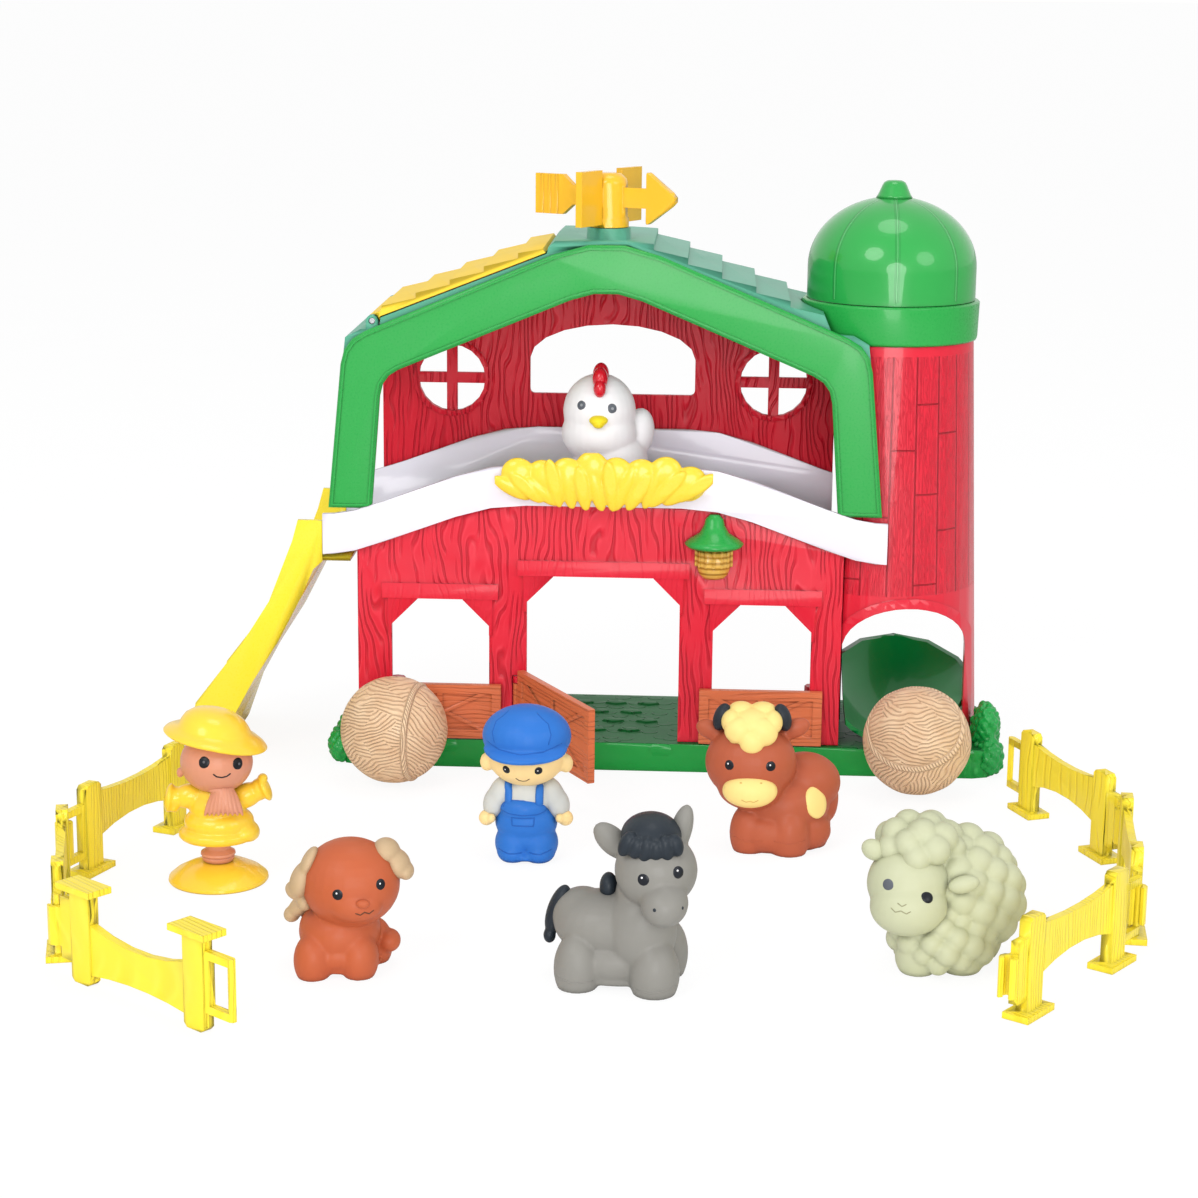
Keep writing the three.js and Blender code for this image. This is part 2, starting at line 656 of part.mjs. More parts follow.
function makeRing() {
  const foot = siloTop + gap;
  const inner = siloTopRadius - siloWall;
  const ring = revolve([
    [inner, foot], [ringRadius - ringStep, foot], [ringRadius - ringStep / 2, foot + ringStep],
    [ringRadius, ringTop - ringStep], [ringRadius - ringStep, ringTop], [inner, ringTop], [inner, foot],
  ], siloX, siloY, 24);
  const floor = cut(post(siloX, siloY, foot, foot + wall, inner + siloWall / 2, 24),
    box(barnRight + siloWall, siloX + ringRadius * 2, siloY - ringRadius * 2, siloY + ringRadius * 2, 0,
      ringTop * 2));
  const lug = (sign) => {
    const from = siloX + sign * (domeKnuckleLong / 2 + gap);
    const to = from + sign * domeKnuckleLong * 0.6;
    const [x0, x1] = [Math.min(from, to), Math.max(from, to)];
    return fuse(bar('x', x0, x1, domePinY, domePinZ, domeKnuckle, 14),
      box(x0, x1, siloY + ringRadius - siloWall, domePinY, domePinZ - domeKnuckle, domePinZ - gap));
  };
  const clear = box(siloX - domeKnuckleLong / 2 - gap, siloX + domeKnuckleLong / 2 + gap,
    domePinY - domeKnuckle - runningGap, domePinY + ringRadius, domePinZ - domeKnuckle - runningGap, ringTop * 2);
  return cut(fuse(ring, floor, lug(-1), lug(1)),
    bar('x', siloX - domeKnuckleLong * 2, siloX + domeKnuckleLong * 2, domePinY, domePinZ,
      domePinRadius + gap / 2, 12), clear);
}

function makeDome() {
  const foot = ringTop + gap;
  const spring = foot + domeStraight;
  const profile = (radius, top, lift) => {
    const steps = 4;
    const points = [[0, foot + lift]];
    for (let i = 0; i <= steps; i += 1) {
      const angle = (Math.PI / 2) * (i / steps);
      points.push([radius * Math.cos(angle), spring + (top - spring) * Math.sin(angle)]);
    }
    points[steps + 1][0] = 0;
    points.splice(1, 0, [radius, foot + lift]);
    return points;
  };
  const skin = revolve(profile(domeRadius, domeTop, 0), siloX, siloY, 20);
  const hollow = revolve(profile(domeRadius - wall, domeTop - wall, -cutOver), siloX, siloY, 14);
  const ribCount = 3;
  const ribs = [];
  for (let i = 0; i < ribCount; i += 1) {
    const blade = new THREE.BoxGeometry(domeRadius * 3, domeRibThick, domeTop);
    blade.rotateZ((i * Math.PI) / ribCount);
    blade.translate(siloX, siloY, domeTop / 2 + foot + domeStraight / 2);
    ribs.push(solid(blade));
  }
  const ribSkin = revolve(profile(domeRadius + domeRib, domeTop + domeRib, 0), siloX, siloY, 20);
  const knob = revolve([
    [0, domeTop - wall], [knobRadius * 1.25, domeTop - wall], [knobRadius, domeTop + knobHeight * 0.15],
    [knobRadius * 0.72, domeTop + knobHeight * 0.7], [knobRadius * 0.4, domeTop + knobHeight],
    [0, domeTop + knobHeight],
  ], siloX, siloY, 12);
  const x0 = siloX - domeKnuckleLong / 2;
  const x1 = siloX + domeKnuckleLong / 2;
  const knuckle = fuse(bar('x', x0, x1, domePinY, domePinZ, domeKnuckle, 14),
    box(x0, x1, siloY + domeRadius - wall / 2, domePinY, domePinZ + gap, domePinZ + domeKnuckle));
  return cut(fuse(cut(fuse(skin, ribSkin.intersect(fuse(ribs))), hollow), knob, knuckle),
    bar('x', x0 - cutOver, x1 + cutOver, domePinY, domePinZ, domePinRadius + gap, 12),
    box(siloX - domeRadius, siloX + domeRadius, siloY, siloY + domeRadius - wall, foot - cutOver,
      foot));
}

const makeDomePin = () => bar('x', siloX - domeKnuckleLong * 1.1, siloX + domeKnuckleLong * 1.1, domePinY,
  domePinZ, domePinRadius, 12);

// Green gable: a flat band over the front, from foot to foot.
function gableOutline(grow) {
  const slope = Math.atan2(gablePeak - eaveHeight, gableHalf);
  const band = gableBand;
  const innerPeak = gablePeak - band / Math.cos(slope) - grow;
  const innerHalf = gableHalf - band * 0.8 - grow;
  const innerEave = innerPeak - innerHalf * Math.tan(slope);
  const outerHalf = gableHalf + grow;
  const legOut = gableLegOut + grow;
  const legIn = gableLegOut - band * 0.92 - grow;
  const foot = gableFoot - grow;
  const points = [
    [-legOut, foot], [-outerHalf, eaveHeight + grow], [0, gablePeak + grow], [outerHalf, eaveHeight + grow],
    [legOut, foot], [legIn, foot], [innerHalf, innerEave], [0, innerPeak], [-innerHalf, innerEave],
    [-legIn, foot],
  ];
  const bend = band * 0.5;
  return rounded(points, [0, bend, bend * 2.4, bend, 0, 0, bend * 0.8, bend * 1.6, bend * 0.8, 0]);
}

function gableSolid(grow, y0, y1, bevel = 0) {
  return prism(gableOutline(grow), y0, y1, 3, bevel);
}

function makeGable() {
  // the feet stop on the tray's rail
  const clear = trayBand(-trayTop, gap, trayFront - cutOver, trayFront + gableDeep + cutOver);
  return cut(gableSolid(0, trayFront, trayFront + gableDeep, gableBevel), clear);
}

// Roof: a level ridge board, stepped shingles on the right, on the left a seat for the hatch whose
// shingles run on from the ridge. Heights of the two shingled sides and of the seat:
const roofFront = trayFront + gableDeep + gap;
const rightLine = (x) => firstFootHeight - roofFall * (x - firstFoot);
const hatchLine = (x) => hatchFirstFootHeight - roofFall * (x - hatchFirstFoot);
const hatchUnder = (x) => hatchLine(x) - hatchLip - hatchThick;
const seatLine = (x) => hatchUnder(x) - gap;
const hatchFoot = hatchFirstFoot + shinglePitch * (shingleCount - 1);
const seatEnd = hatchFoot + hatchLip / 4;
const roofUnderHalf = 10;    // half width of the flat under the ridge

// Stepped top edge: a lip stands over the line at the foot of each shingle.
function shingleEdge(start, first, line, lip) {
  const points = [];
  for (let i = 0; i < shingleCount; i += 1) {
    const foot = first + i * shinglePitch;
    points.push([i === 0 ? start : foot - shinglePitch, line(i === 0 ? start : foot - shinglePitch) - lip],
      [foot, line(foot)]);
  }
  return points;
}

// Underside of the roof, the same on both sides; down lowers it for what stands below.
function roofUnder(down) {
  const side = (sign) => [
    [sign * roofUnderHalf, ridgeHeight - roofWall - down],
    [sign * hatchUpper, seatLine(hatchUpper) - roofWall - down],
    [sign * (seatEnd - roofWall), seatLine(seatEnd) - roofWall - down],
    [sign * (seatEnd - roofWall / 2), eaveStrip - roofWall - down],
    [sign * (eaveInner - roofWall / 2), eaveStrip - roofWall - down],
  ];
  return [...side(-1).reverse(), ...side(1)];
}

function roofOutline() {
  const eave = [gableHalf - roofWall / 4, eaveHeight + roofWall / 3];
  const leg = [gableHalf + roofWall / 4, eaveHeight - roofWall * 4];
  const left = [
    [-ridgeLeft, ridgeHeight], [-hatchUpper + runningGap * 2, ridgeHeight - shingleLip],
    [-hatchUpper + runningGap, seatLine(hatchUpper)], [-seatEnd, seatLine(seatEnd)],
    [-seatEnd - gap, eaveStrip], [-eaveInner, eaveStrip], [-eave[0], eave[1]], [-leg[0], leg[1]],
  ];
  const right = [
    [ridgeRight, ridgeHeight], [firstFoot, firstFootHeight],
    ...shingleEdge(firstFoot, firstFoot + shinglePitch, rightLine, shingleLip),
    [hatchFoot + gap, eaveStrip], [eaveInner, eaveStrip], [eave[0], eave[1]], [leg[0], leg[1]],
  ];
  const under = roofUnder(0);
  return [...left.reverse(), ...right, [leg[0] - roofWall, leg[1]], [eave[0] - roofWall, eaveHeight - roofWall],
    ...under.reverse(), [-eave[0] + roofWall, eaveHeight - roofWall], [-leg[0] + roofWall, leg[1]]];
}

const hatchFront = roofFront + runningGap;
const hatchBack = roofDeepBack - runningGap;
const knuckleEnds = [[roofFront, roofFront + hatchKnuckle], [roofDeepBack - hatchKnuckle, roofDeepBack]];

function makeRoof() {
  const shell = prism(roofOutline(), roofFront, roofDeepBack);
  const stub = fuse(post(0, vaneY, ridgeHeight - roofWall, vaneHubFoot - gap, vaneStubRadius * 1.06, 20,
    vaneStubRadius), post(0, vaneY, ridgeHeight - roofWall * 3, ridgeHeight, vanePinRadius * 2.4, 12));
  const opening = box(-seatEnd + roofSideRim, -hatchUpper - roofSideRim, roofFront + roofSideRim,
    roofDeepBack - roofSideRim, eaveStrip - roofWall * 3, ridgeHeight + cutOver);
  const knuckles = knuckleEnds.map(([y0, y1]) => fuse(
    bar('y', y0, y1, hatchPinX, hatchPinZ, hatchBarrel, 12),
    box(hatchPinX - hatchBarrel, hatchPinX + hatchBarrel, y0, y1, eaveStrip - roofWall / 2, hatchPinZ),
  ));
  const siloRoom = post(siloX, siloY, eaveHeight - gableBand, ringTop + cutOver, ringRadius + gap * 2, 24);
  return cut(fuse(cut(shell, opening), stub, knuckles),
    bar('y', roofFront - cutOver, roofDeepBack + cutOver, hatchPinX, hatchPinZ, hatchPinRadius + gap / 2, 12),
    post(0, vaneY, ridgeHeight - roofWall * 4, vaneHubTop, vanePinRadius + gap / 2, 12), siloRoom);
}

function makeHatch() {
  const steps = shingleEdge(hatchUpper + gap * 4, hatchFirstFoot, hatchLine, hatchLip)
    .map(([x, z]) => [-x, z]);
  const panel = prism([
    ...steps, [-hatchFoot - hatchLip / 4, hatchLine(hatchFoot) - hatchLip], [hatchPinX, hatchPinZ + hatchBarrel],
    [hatchPinX, hatchPinZ], [-seatEnd - gap * 2, hatchPinZ], [-seatEnd - gap * 2, hatchUnder(seatEnd)],
    [-hatchUpper, hatchUnder(hatchUpper)],
  ], hatchFront, hatchBack);
  const barrel = bar('y', hatchFront, hatchBack, hatchPinX, hatchPinZ, hatchBarrel, 12);
  const recess = egg([-hatchUpper - fingerRecess * 1.3, (hatchFront + hatchBack) / 2, hatchLine(hatchUpper)
    - hatchLip / 2], [fingerRecess * 0.8, fingerRecess * 1.3, hatchLip * 1.2], [0, 0, 0], 12, 6);
  const knuckleRoom = knuckleEnds.map(([y0, y1]) => bar('y', y0 - runningGap, y1 + runningGap, hatchPinX,
    hatchPinZ, hatchBarrel + runningGap, 14));
  return cut(fuse(panel, barrel), recess, knuckleRoom,
    bar('y', hatchFront - cutOver, hatchBack + cutOver, hatchPinX, hatchPinZ, hatchPinRadius + gap, 12));
}

const makeHatchPin = () => bar('y', roofFront + gap * 2, roofDeepBack - gap * 2, hatchPinX, hatchPinZ,
  hatchPinRadius, 12);

// Vane: hub with a cap, tail with ridges, arrow head and two upright cross blades.
function makeVane() {
  const high = vaneHubTop - vaneHubFoot;
  const middle = vaneHubFoot + high * 0.56;
  const y0 = -vaneBladeThick / 2;
  const y1 = vaneBladeThick / 2;
  const hub = revolve([
    [0, vaneHubFoot], [vaneHubRadius * 1.04, vaneHubFoot], [vaneHubRadius * 1.04, vaneHubFoot + high * 0.16],
    [vaneHubRadius * 0.97, vaneHubFoot + high * 0.19], [vaneHubRadius * 0.97, vaneHubTop - high * 0.2],
    [vaneHubRadius * 0.9, vaneHubTop - high * 0.1], [vaneHubRadius * 0.62, vaneHubTop],
    [0, vaneHubTop],
  ], 0, 0, 20);
  const arm = box(-vaneTailReach * 0.6, vaneArrowReach * 0.7, y0, y1, middle - vaneArmHigh / 2,
    middle + vaneArmHigh / 2);
  const half = vaneBladeHigh / 2;
  const tail = prism([
    [-vaneTailReach, middle - half], [-vaneTailReach * 0.62, middle - half],
    [-vaneTailReach * 0.48, middle - vaneArmHigh / 2], [-vaneTailReach * 0.48, middle + vaneArmHigh / 2],
    [-vaneTailReach * 0.62, middle + half], [-vaneTailReach, middle + half],
  ], y0, y1);
  const ridges = [0.7, 0.8, 0.9].map((share) => box(-vaneTailReach * share - vaneBladeThick * 0.2,
    -vaneTailReach * share + vaneBladeThick * 0.2, y0 - vaneBladeThick * 0.2, y1 + vaneBladeThick * 0.2,
    middle - half * 0.98, middle + half * 0.98));
  const arrow = prism(rounded([
    [vaneArrowReach * 0.56, middle - half * 1.35], [vaneArrowReach * 1.04, middle],
    [vaneArrowReach * 0.56, middle + half * 1.35],
  ], [half * 0.2, half * 0.6, half * 0.2]), y0, y1, 3);
  const cross = (sign, top, foot) => {
    const blade = new THREE.BoxGeometry(vaneBladeThick, vaneCrossReach * 0.62, top - foot);
    blade.translate(0, sign * vaneCrossReach * 0.62, (top + foot) / 2);
    return solid(blade);
  };
  const crossArm = box(-vaneBladeThick / 2, vaneBladeThick / 2, -vaneCrossReach * 0.6,
    vaneCrossReach * 0.6, middle - vaneArmHigh / 2, middle + vaneArmHigh / 2);
  const bore = post(0, 0, vaneHubFoot - cutOver, vaneHubTop - high * 0.25, vanePinRadius + gap, 12);
  const crossHalf = half * 1.35;
  return cut(fuse(hub, arm, tail, ridges, arrow, crossArm, cross(-1, middle + crossHalf, middle - crossHalf),
    cross(1, middle + crossHalf, middle - crossHalf)), bore);
}

const makeVanePin = () => fuse(post(0, vaneY, ridgeHeight - roofWall * 4, vaneHubTop - (vaneHubTop
  - vaneHubFoot) * 0.25 - gap, vanePinRadius, 12), post(0, vaneY, ridgeHeight - roofWall * 4
  - roofWall, ridgeHeight - roofWall * 3 - gap, vanePinRadius * 1.8, 12));

// Back wall of the loft with an arched window and two round ones.
function makeBackWall() {
  const y0 = barnBack + gap;
  const y1 = y0 + wall;
  const left = barnLeft + wall;
  const right = barnRight - wall - gap;
  const windowHalf = 37.4;
  const windowFoot = 154.8;
  const windowSpring = 171;
  const windowTop = 186.6;
  const roundX = 73;
  const roundZ = 161.3;
  const roundRadius = 15.2;
  const crossBar = 4.8;
  const rim = 2.4;
  const below = trayBand(trayBottom, trayTop, y0, y1, left, right);
  const cover = prism([
    [-gableHalf, trayTop - trayDrop * 2], ...roofUnder(gap), [gableHalf, trayTop - trayDrop * 2],
  ], y0 - cutOver, y1 + cutOver);
  const wide = new THREE.Shape();
  wide.moveTo(-windowHalf + rim, windowFoot);
  wide.lineTo(windowHalf - rim, windowFoot);
  wide.quadraticCurveTo(windowHalf, windowFoot, windowHalf, windowFoot + rim);
  wide.lineTo(windowHalf, windowSpring);
  wide.absellipse(0, windowSpring, windowHalf, windowTop - windowSpring, 0, Math.PI, false, 0);
  wide.lineTo(-windowHalf, windowFoot + rim);
  wide.quadraticCurveTo(-windowHalf, windowFoot, -windowHalf + rim, windowFoot);
  const rimFront = y0 - rim / 2;
  const rounds = [-roundX, roundX].map((x) => ({
    hole: bar('y', y0 - rim * 2, y1 + cutOver, x, roundZ, roundRadius, 20),
    rim: bar('y', rimFront, y1, x, roundZ, roundRadius + rim, 20),
    bars: fuse(box(x - crossBar / 2, x + crossBar / 2, y0, y1, roundZ - roundRadius - rim / 2,
      roundZ + roundRadius + rim / 2), box(x - roundRadius - rim / 2, x + roundRadius + rim / 2, y0, y1,
      roundZ - crossBar / 2, roundZ + crossBar / 2)),
  }));
  let body = below.intersect(cover);
  body = fuse(body, rounds.map(({ rim: raised }) => raised));
  body = cut(body, rounds.map(({ hole }) => hole), prism(wide, y0 - rim * 2, y1 + cutOver, 5));
  return fuse(body, rounds.map(({ bars }) => bars));
}

// Straw heap on the tray's front rail: leaves that fan out from the middle.
function makeHayTrim() {
  const half = 49;
  const foot = 118.5;
  const top = 143.5;
  const thick = 3.4;
  const leaves = 9;
  const middleZ = (foot + top) / 2;
  const heap = [];
  for (let i = 0; i < leaves; i += 1) {
    const share = (i / (leaves - 1)) * 2 - 1;
    const fall = (top - foot) * (0.1 + 0.12 * share * share);
    heap.push(egg([share * half * 0.76, trayFront - thick * 0.6, middleZ - fall],
      [half * 0.14, thick * (1 + 0.25 * (i % 2)), (top - foot) * (i % 2 ? 0.52 : 0.44)],
      [0, share * 58, 0], 5, 4));
    if (i % 2 === 1) {
      heap.push(egg([share * half * 0.66, trayFront - thick * 0.3, top - (top - foot) * 0.24 - fall * 0.4],
        [half * 0.24, thick * 1.1, (top - foot) * 0.2], [0, share * 20, 0], 6, 4));
    }
  }
  const back = box(-half * 0.8, half * 0.8, trayFront - thick, trayFront - gap, middleZ - (top - foot) * 0.25,
    middleZ + (top - foot) * 0.2);
  const behind = box(-half * 2, half * 2, trayFront - gap, trayFront + thick * 4, 0, trayTop + gap);
  const deep = box(-half * 2, half * 2, trayFront + trayRailThick * 0.6, trayFront + thick * 4, 0, top * 2);
  return cut(fuse(back, heap), behind, deep);
}

// Lantern: a bell cap and a ribbed glass against the wall.
const lanternY = facadeFront - wall;
function lanternPeg(grow) {
  return bar('y', lanternY, facadeFront + wall + (grow > 0 ? cutOver : 0), lanternX,
    (lanternTop + lanternCapFoot) / 2, pegRadius + grow, 8);
}

function againstWall(body) {
  const reach = lanternBrim * 3;
  return cut(body, box(lanternX - reach, lanternX + reach, facadeFront - gap, facadeFront + reach, 0,
    lanternTop * 2));
}

function makeLanternCap() {
  const high = lanternTop - lanternCapFoot;
  const cap = revolve([
    [0, lanternCapFoot], [lanternBrim * 0.9, lanternCapFoot], [lanternBrim, lanternCapFoot + high * 0.1],
    [lanternBrim * 0.86, lanternCapFoot + high * 0.22], [lanternBrim * 0.5, lanternCapFoot + high * 0.42],
    [lanternBrim * 0.34, lanternCapFoot + high * 0.68], [lanternBrim * 0.3, lanternCapFoot + high * 0.86],
    [lanternBrim * 0.16, lanternTop], [0, lanternTop],
  ], lanternX, lanternY, 20);
  return fuse(againstWall(cap), lanternPeg(0));
}

function makeLanternGlass() {
  const top = lanternCapFoot - gap;
  const high = top - lanternGlassFoot;
  const glass = revolve([
    [0, lanternGlassFoot], [lanternGlassRadius * 0.62, lanternGlassFoot],
    [lanternGlassRadius * 0.86, lanternGlassFoot + high * 0.16],
    [lanternGlassRadius, lanternGlassFoot + high * 0.45], [lanternGlassRadius, top], [0, top],
  ], lanternX, lanternY, 16);
  const ribs = 7;
  const ribList = [];
  for (let i = 0; i < ribs; i += 1) {
    const angle = Math.PI + (Math.PI * (i + 0.5)) / ribs;
    ribList.push(post(lanternX + lanternGlassRadius * Math.cos(angle), lanternY + lanternGlassRadius
      * Math.sin(angle), lanternGlassFoot + high * 0.4, top, lanternGlassRadius * 0.1, 4));
  }
  return againstWall(fuse(glass, ribList));
}

// Slide: a wide channel whose rails hook on the tray's left end and curve down to the floor.
function makeSlide() {
  const top = slideTopHeight;
  const run = slideRailTopX - slideEndX;
  const upperShares = [[0, 1], [0.1, 1], [0.15, 0.913], [0.35, 0.666], [0.57, 0.498], [0.84, 0.328],
    [0.98, 0.24], [1, 0.2], [1, 0]];
  const lowerShares = [[0.8, 0], [0.66, 0.19], [0.5, 0.332], [0.28, 0.5], [0.1, 0.67], [-0.02, 0.8]];
  const toPoint = ([x, z]) => [slideRailTopX - x * run, z * top + gap];
  const end = -trayEnd - gap;
  const tabTop = trayTop - trayDrop + trayBottom - gap * 2 - trayDrop * 0.02;
  const railOutline = [[end, top], ...upperShares.map(toPoint), ...lowerShares.map(toPoint),
    [end, tabTop - slideFloor * 1.4]];
  const floorTopShares = lowerShares.map(([x, z], i) => [x + (i === 0 ? 0.11 : 0.05), z + 0.014]);
  const floorOutline = [...lowerShares.map(toPoint), [end, tabTop - slideFloor * 1.4],
    [end, tabTop], ...floorTopShares.reverse().map(toPoint)];
  const rails = [[trayFront, trayFront + slideRail], [barnBack - slideRail, barnBack]];
  const tab = box(end - slideFloor, end + slideTab, trayFront + wall, barnBack - wall,
    tabTop - slideFloor * 1.4, tabTop - gap);
  const channel = fuse(rails.map(([y0, y1]) => prism(railOutline, y0, y1)),
    prism(floorOutline, trayFront, barnBack));
  return fuse(channel, tab);
}

// Fence section in its own frame: link axis of the hook at the origin, length along +X.
function fenceBody() {
  const first = fenceHookReach;
  const last = first + fencePostPitch;
  const axis = last + fenceLoopReach;
  const middle = fenceHigh / 2;
  const postAt = (x) => fuse(
    prism(rounded([[x - fencePostWide / 2, 0], [x + fencePostWide / 2, 0], [x + fencePostWide / 2, fenceHigh],
      [x - fencePostWide / 2, fenceHigh]], [0, 0, fencePostThick / 3, fencePostThick / 3]),
    -fencePostThick / 2, fencePostThick / 2, 1),
    box(x - fenceFootLong / 2, x + fenceFootLong / 2, -fenceFootWide / 2, fenceFootWide / 2, 0,
      fenceFootThick),
  );
  const from = first + fencePostWide / 2 - cutOver / 2;
  const to = last - fencePostWide / 2 + cutOver / 2;
  const span = new THREE.Shape();
  span.moveTo(from, fenceRailTop - fenceRailEnd);
  span.quadraticCurveTo((from + to) / 2, fenceRailTop - 2 * fenceRailMiddle + fenceRailEnd * 0.7, to,
    fenceRailTop - fenceRailEnd);
  span.lineTo(to, fenceRailTop + fenceRailThick / 3);
  span.quadraticCurveTo((from + to) / 2, fenceRailTop - fenceRailThick, from, fenceRailTop
    + fenceRailThick / 3);
  const rail = prism(span, -fenceRailThick / 2, fenceRailThick / 2, 5);
  const loopX0 = last + fencePostWide / 2 - cutOver / 2;
  const low = middle - loopHigh / 2;
  const high = middle + loopHigh / 2;
  const loop = fuse(
    box(loopX0, axis, -loopBar / 2, loopBar / 2, low, low + loopBar),
    box(loopX0, axis, -loopBar / 2, loopBar / 2, high - loopBar, high),
    post(axis, 0, low, high, loopBarRadius, 6),
    box(loopX0, last + fencePostWide / 2 + loopBar * 0.7, -loopBar / 2, loopBar / 2, low, high),
  );
  const bore = loopBarRadius + gap;
  const outer = bore + hookWall;
  const hook = cut(fuse(post(0, 0, middle - hookHigh / 2, middle + hookHigh / 2, outer, 10),
    box(0, first - fencePostWide / 2 + cutOver / 2, -hookWall, hookWall, middle - hookHigh / 2,
      middle + hookHigh / 2),
    box(outer + runningGap, first - fencePostWide / 2 + cutOver / 2, -hookWall, hookWall,
      middle - hookPlateHigh / 2, middle + hookPlateHigh / 2)),
  post(0, 0, middle - hookHigh, middle + hookHigh, bore, 8),
  plate([[0, 0], [-outer * 2, -outer * 1.5], [-outer * 2, outer * 1.5]], middle - hookHigh,
    middle + hookHigh));
  return fuse(postAt(first), postAt(last), rail, loop, hook);
}

const fenceAxisLength = fenceHookReach + fencePostPitch + fenceLoopReach;

// A chain of three sections from a start point; a turned section hangs on its mid-height links.
function fenceChain(name, start, angles, turned) {
  const body = fenceBody();
  const at = new THREE.Vector2(...start);
  angles.forEach((degrees, i) => {
    const angle = THREE.MathUtils.degToRad(degrees);
    const section = piece(`${name}_${'abc'[i]}`, body, 'lemon');
    section.rotation.z = angle;
    section.position.set(at.x, at.y, 0);
    if (turned[i]) {
      section.rotation.set(Math.PI, 0, angle, 'ZYX');
      section.position.z = fenceHigh;
    }
    at.add(new THREE.Vector2(Math.cos(angle), Math.sin(angle)).multiplyScalar(fenceAxisLength));
  });
}

// A figure is a set of egg shapes in shares of its height: centre, radii and an optional tilt.
// It stands on the floor, so everything below its feet is cut away.
const largeShare = 0.011;
const smallShare = 0.003;
function eggSteps(sizeShare) {
  if (sizeShare > largeShare) return [8, 6];
  return sizeShare > smallShare ? [6, 4] : [5, 4];
}

function figureBody(high, eggShares) {
  const eggs = eggShares.map(([cx, cy, cz, rx, ry, rz, tilt]) => egg(
    [cx * high, cy * high, cz * high], [rx * high, ry * high, rz * high], tilt,
    ...eggSteps(rx * ry * rz)));
  return cut(fuse(eggs), box(-high, high, -high, high, -high, 0));
}

function figure(name, high, eggShares, colour, place, turn = 0) {
  const part = piece(name, figureBody(high, eggShares), colour, { roughness: 0.55 });
  part.position.set(...place);
  part.rotation.z = THREE.MathUtils.degToRad(turn);
  return part;
}

const farmerShares = [
  [-0.09, 0, 0.08, 0.105, 0.15, 0.12], [0.09, 0, 0.08, 0.105, 0.15, 0.12],
  [0, 0, 0.26, 0.185, 0.15, 0.19], [0, 0, 0.42, 0.17, 0.13, 0.13],
  [-0.185, -0.01, 0.38, 0.07, 0.085, 0.15, [0, 24, 0]], [0.185, -0.01, 0.38, 0.07, 0.085, 0.15, [0, -24, 0]],
  [-0.255, -0.03, 0.275, 0.048, 0.05, 0.05], [0.255, -0.03, 0.275, 0.048, 0.05, 0.05],
  [0, 0, 0.68, 0.245, 0.215, 0.2], [-0.245, 0, 0.64, 0.04, 0.05, 0.055], [0.245, 0, 0.64, 0.04, 0.05, 0.055],
  [0, 0, 0.8, 0.268, 0.25, 0.2], [0, -0.13, 0.7, 0.235, 0.19, 0.055, [14, 0, 0]],
];

const calfShares = [
  [-0.14, -0.15, 0.12, 0.13, 0.13, 0.2], [0.1, -0.2, 0.12, 0.13, 0.13, 0.2],
  [0.25, 0.0, 0.13, 0.13, 0.14, 0.2], [0, 0.1, 0.12, 0.13, 0.13, 0.2],
  [0.06, -0.03, 0.3, 0.31, 0.25, 0.21], [0.2, 0.03, 0.42, 0.24, 0.2, 0.2], [0.35, 0.06, 0.3, 0.08, 0.08, 0.16],
  [-0.13, -0.14, 0.59, 0.3, 0.25, 0.26], [-0.13, -0.2, 0.44, 0.22, 0.21, 0.16],
  [-0.14, -0.33, 0.44, 0.175, 0.12, 0.105],
  [-0.13, -0.17, 0.83, 0.185, 0.2, 0.15], [-0.06, -0.27, 0.76, 0.1, 0.1, 0.11], [-0.2, -0.28, 0.78, 0.1, 0.1, 0.1],
  [-0.3, -0.12, 0.88, 0.05, 0.05, 0.1, [0, 18, 0]], [0.04, -0.12, 0.88, 0.05, 0.05, 0.1, [0, -18, 0]],
  [-0.41, -0.1, 0.81, 0.1, 0.05, 0.06, [0, 20, 0]], [0.15, -0.1, 0.81, 0.1, 0.05, 0.06, [0, -20, 0]],
];

const puppyShares = [
  [-0.16, -0.2, 0.12, 0.14, 0.15, 0.2], [0.16, -0.16, 0.13, 0.14, 0.15, 0.2],
  [-0.1, 0.2, 0.12, 0.16, 0.17, 0.2], [0.22, 0.16, 0.12, 0.14, 0.15, 0.2],
  [0, 0, 0.28, 0.29, 0.3, 0.24], [-0.18, 0.2, 0.42, 0.16, 0.18, 0.18],
  [0.33, 0.1, 0.22, 0.1, 0.12, 0.11], [-0.24, 0.28, 0.55, 0.11, 0.1, 0.17, [0, 35, 0]],
  [0.09, -0.12, 0.68, 0.35, 0.3, 0.32], [0.1, -0.34, 0.55, 0.17, 0.12, 0.11],
  [0.12, -0.44, 0.59, 0.05, 0.035, 0.04],
  [-0.26, -0.04, 0.72, 0.09, 0.14, 0.24, [0, 14, 0]], [0.4, -0.04, 0.78, 0.09, 0.14, 0.24, [0, -28, 0]],
];

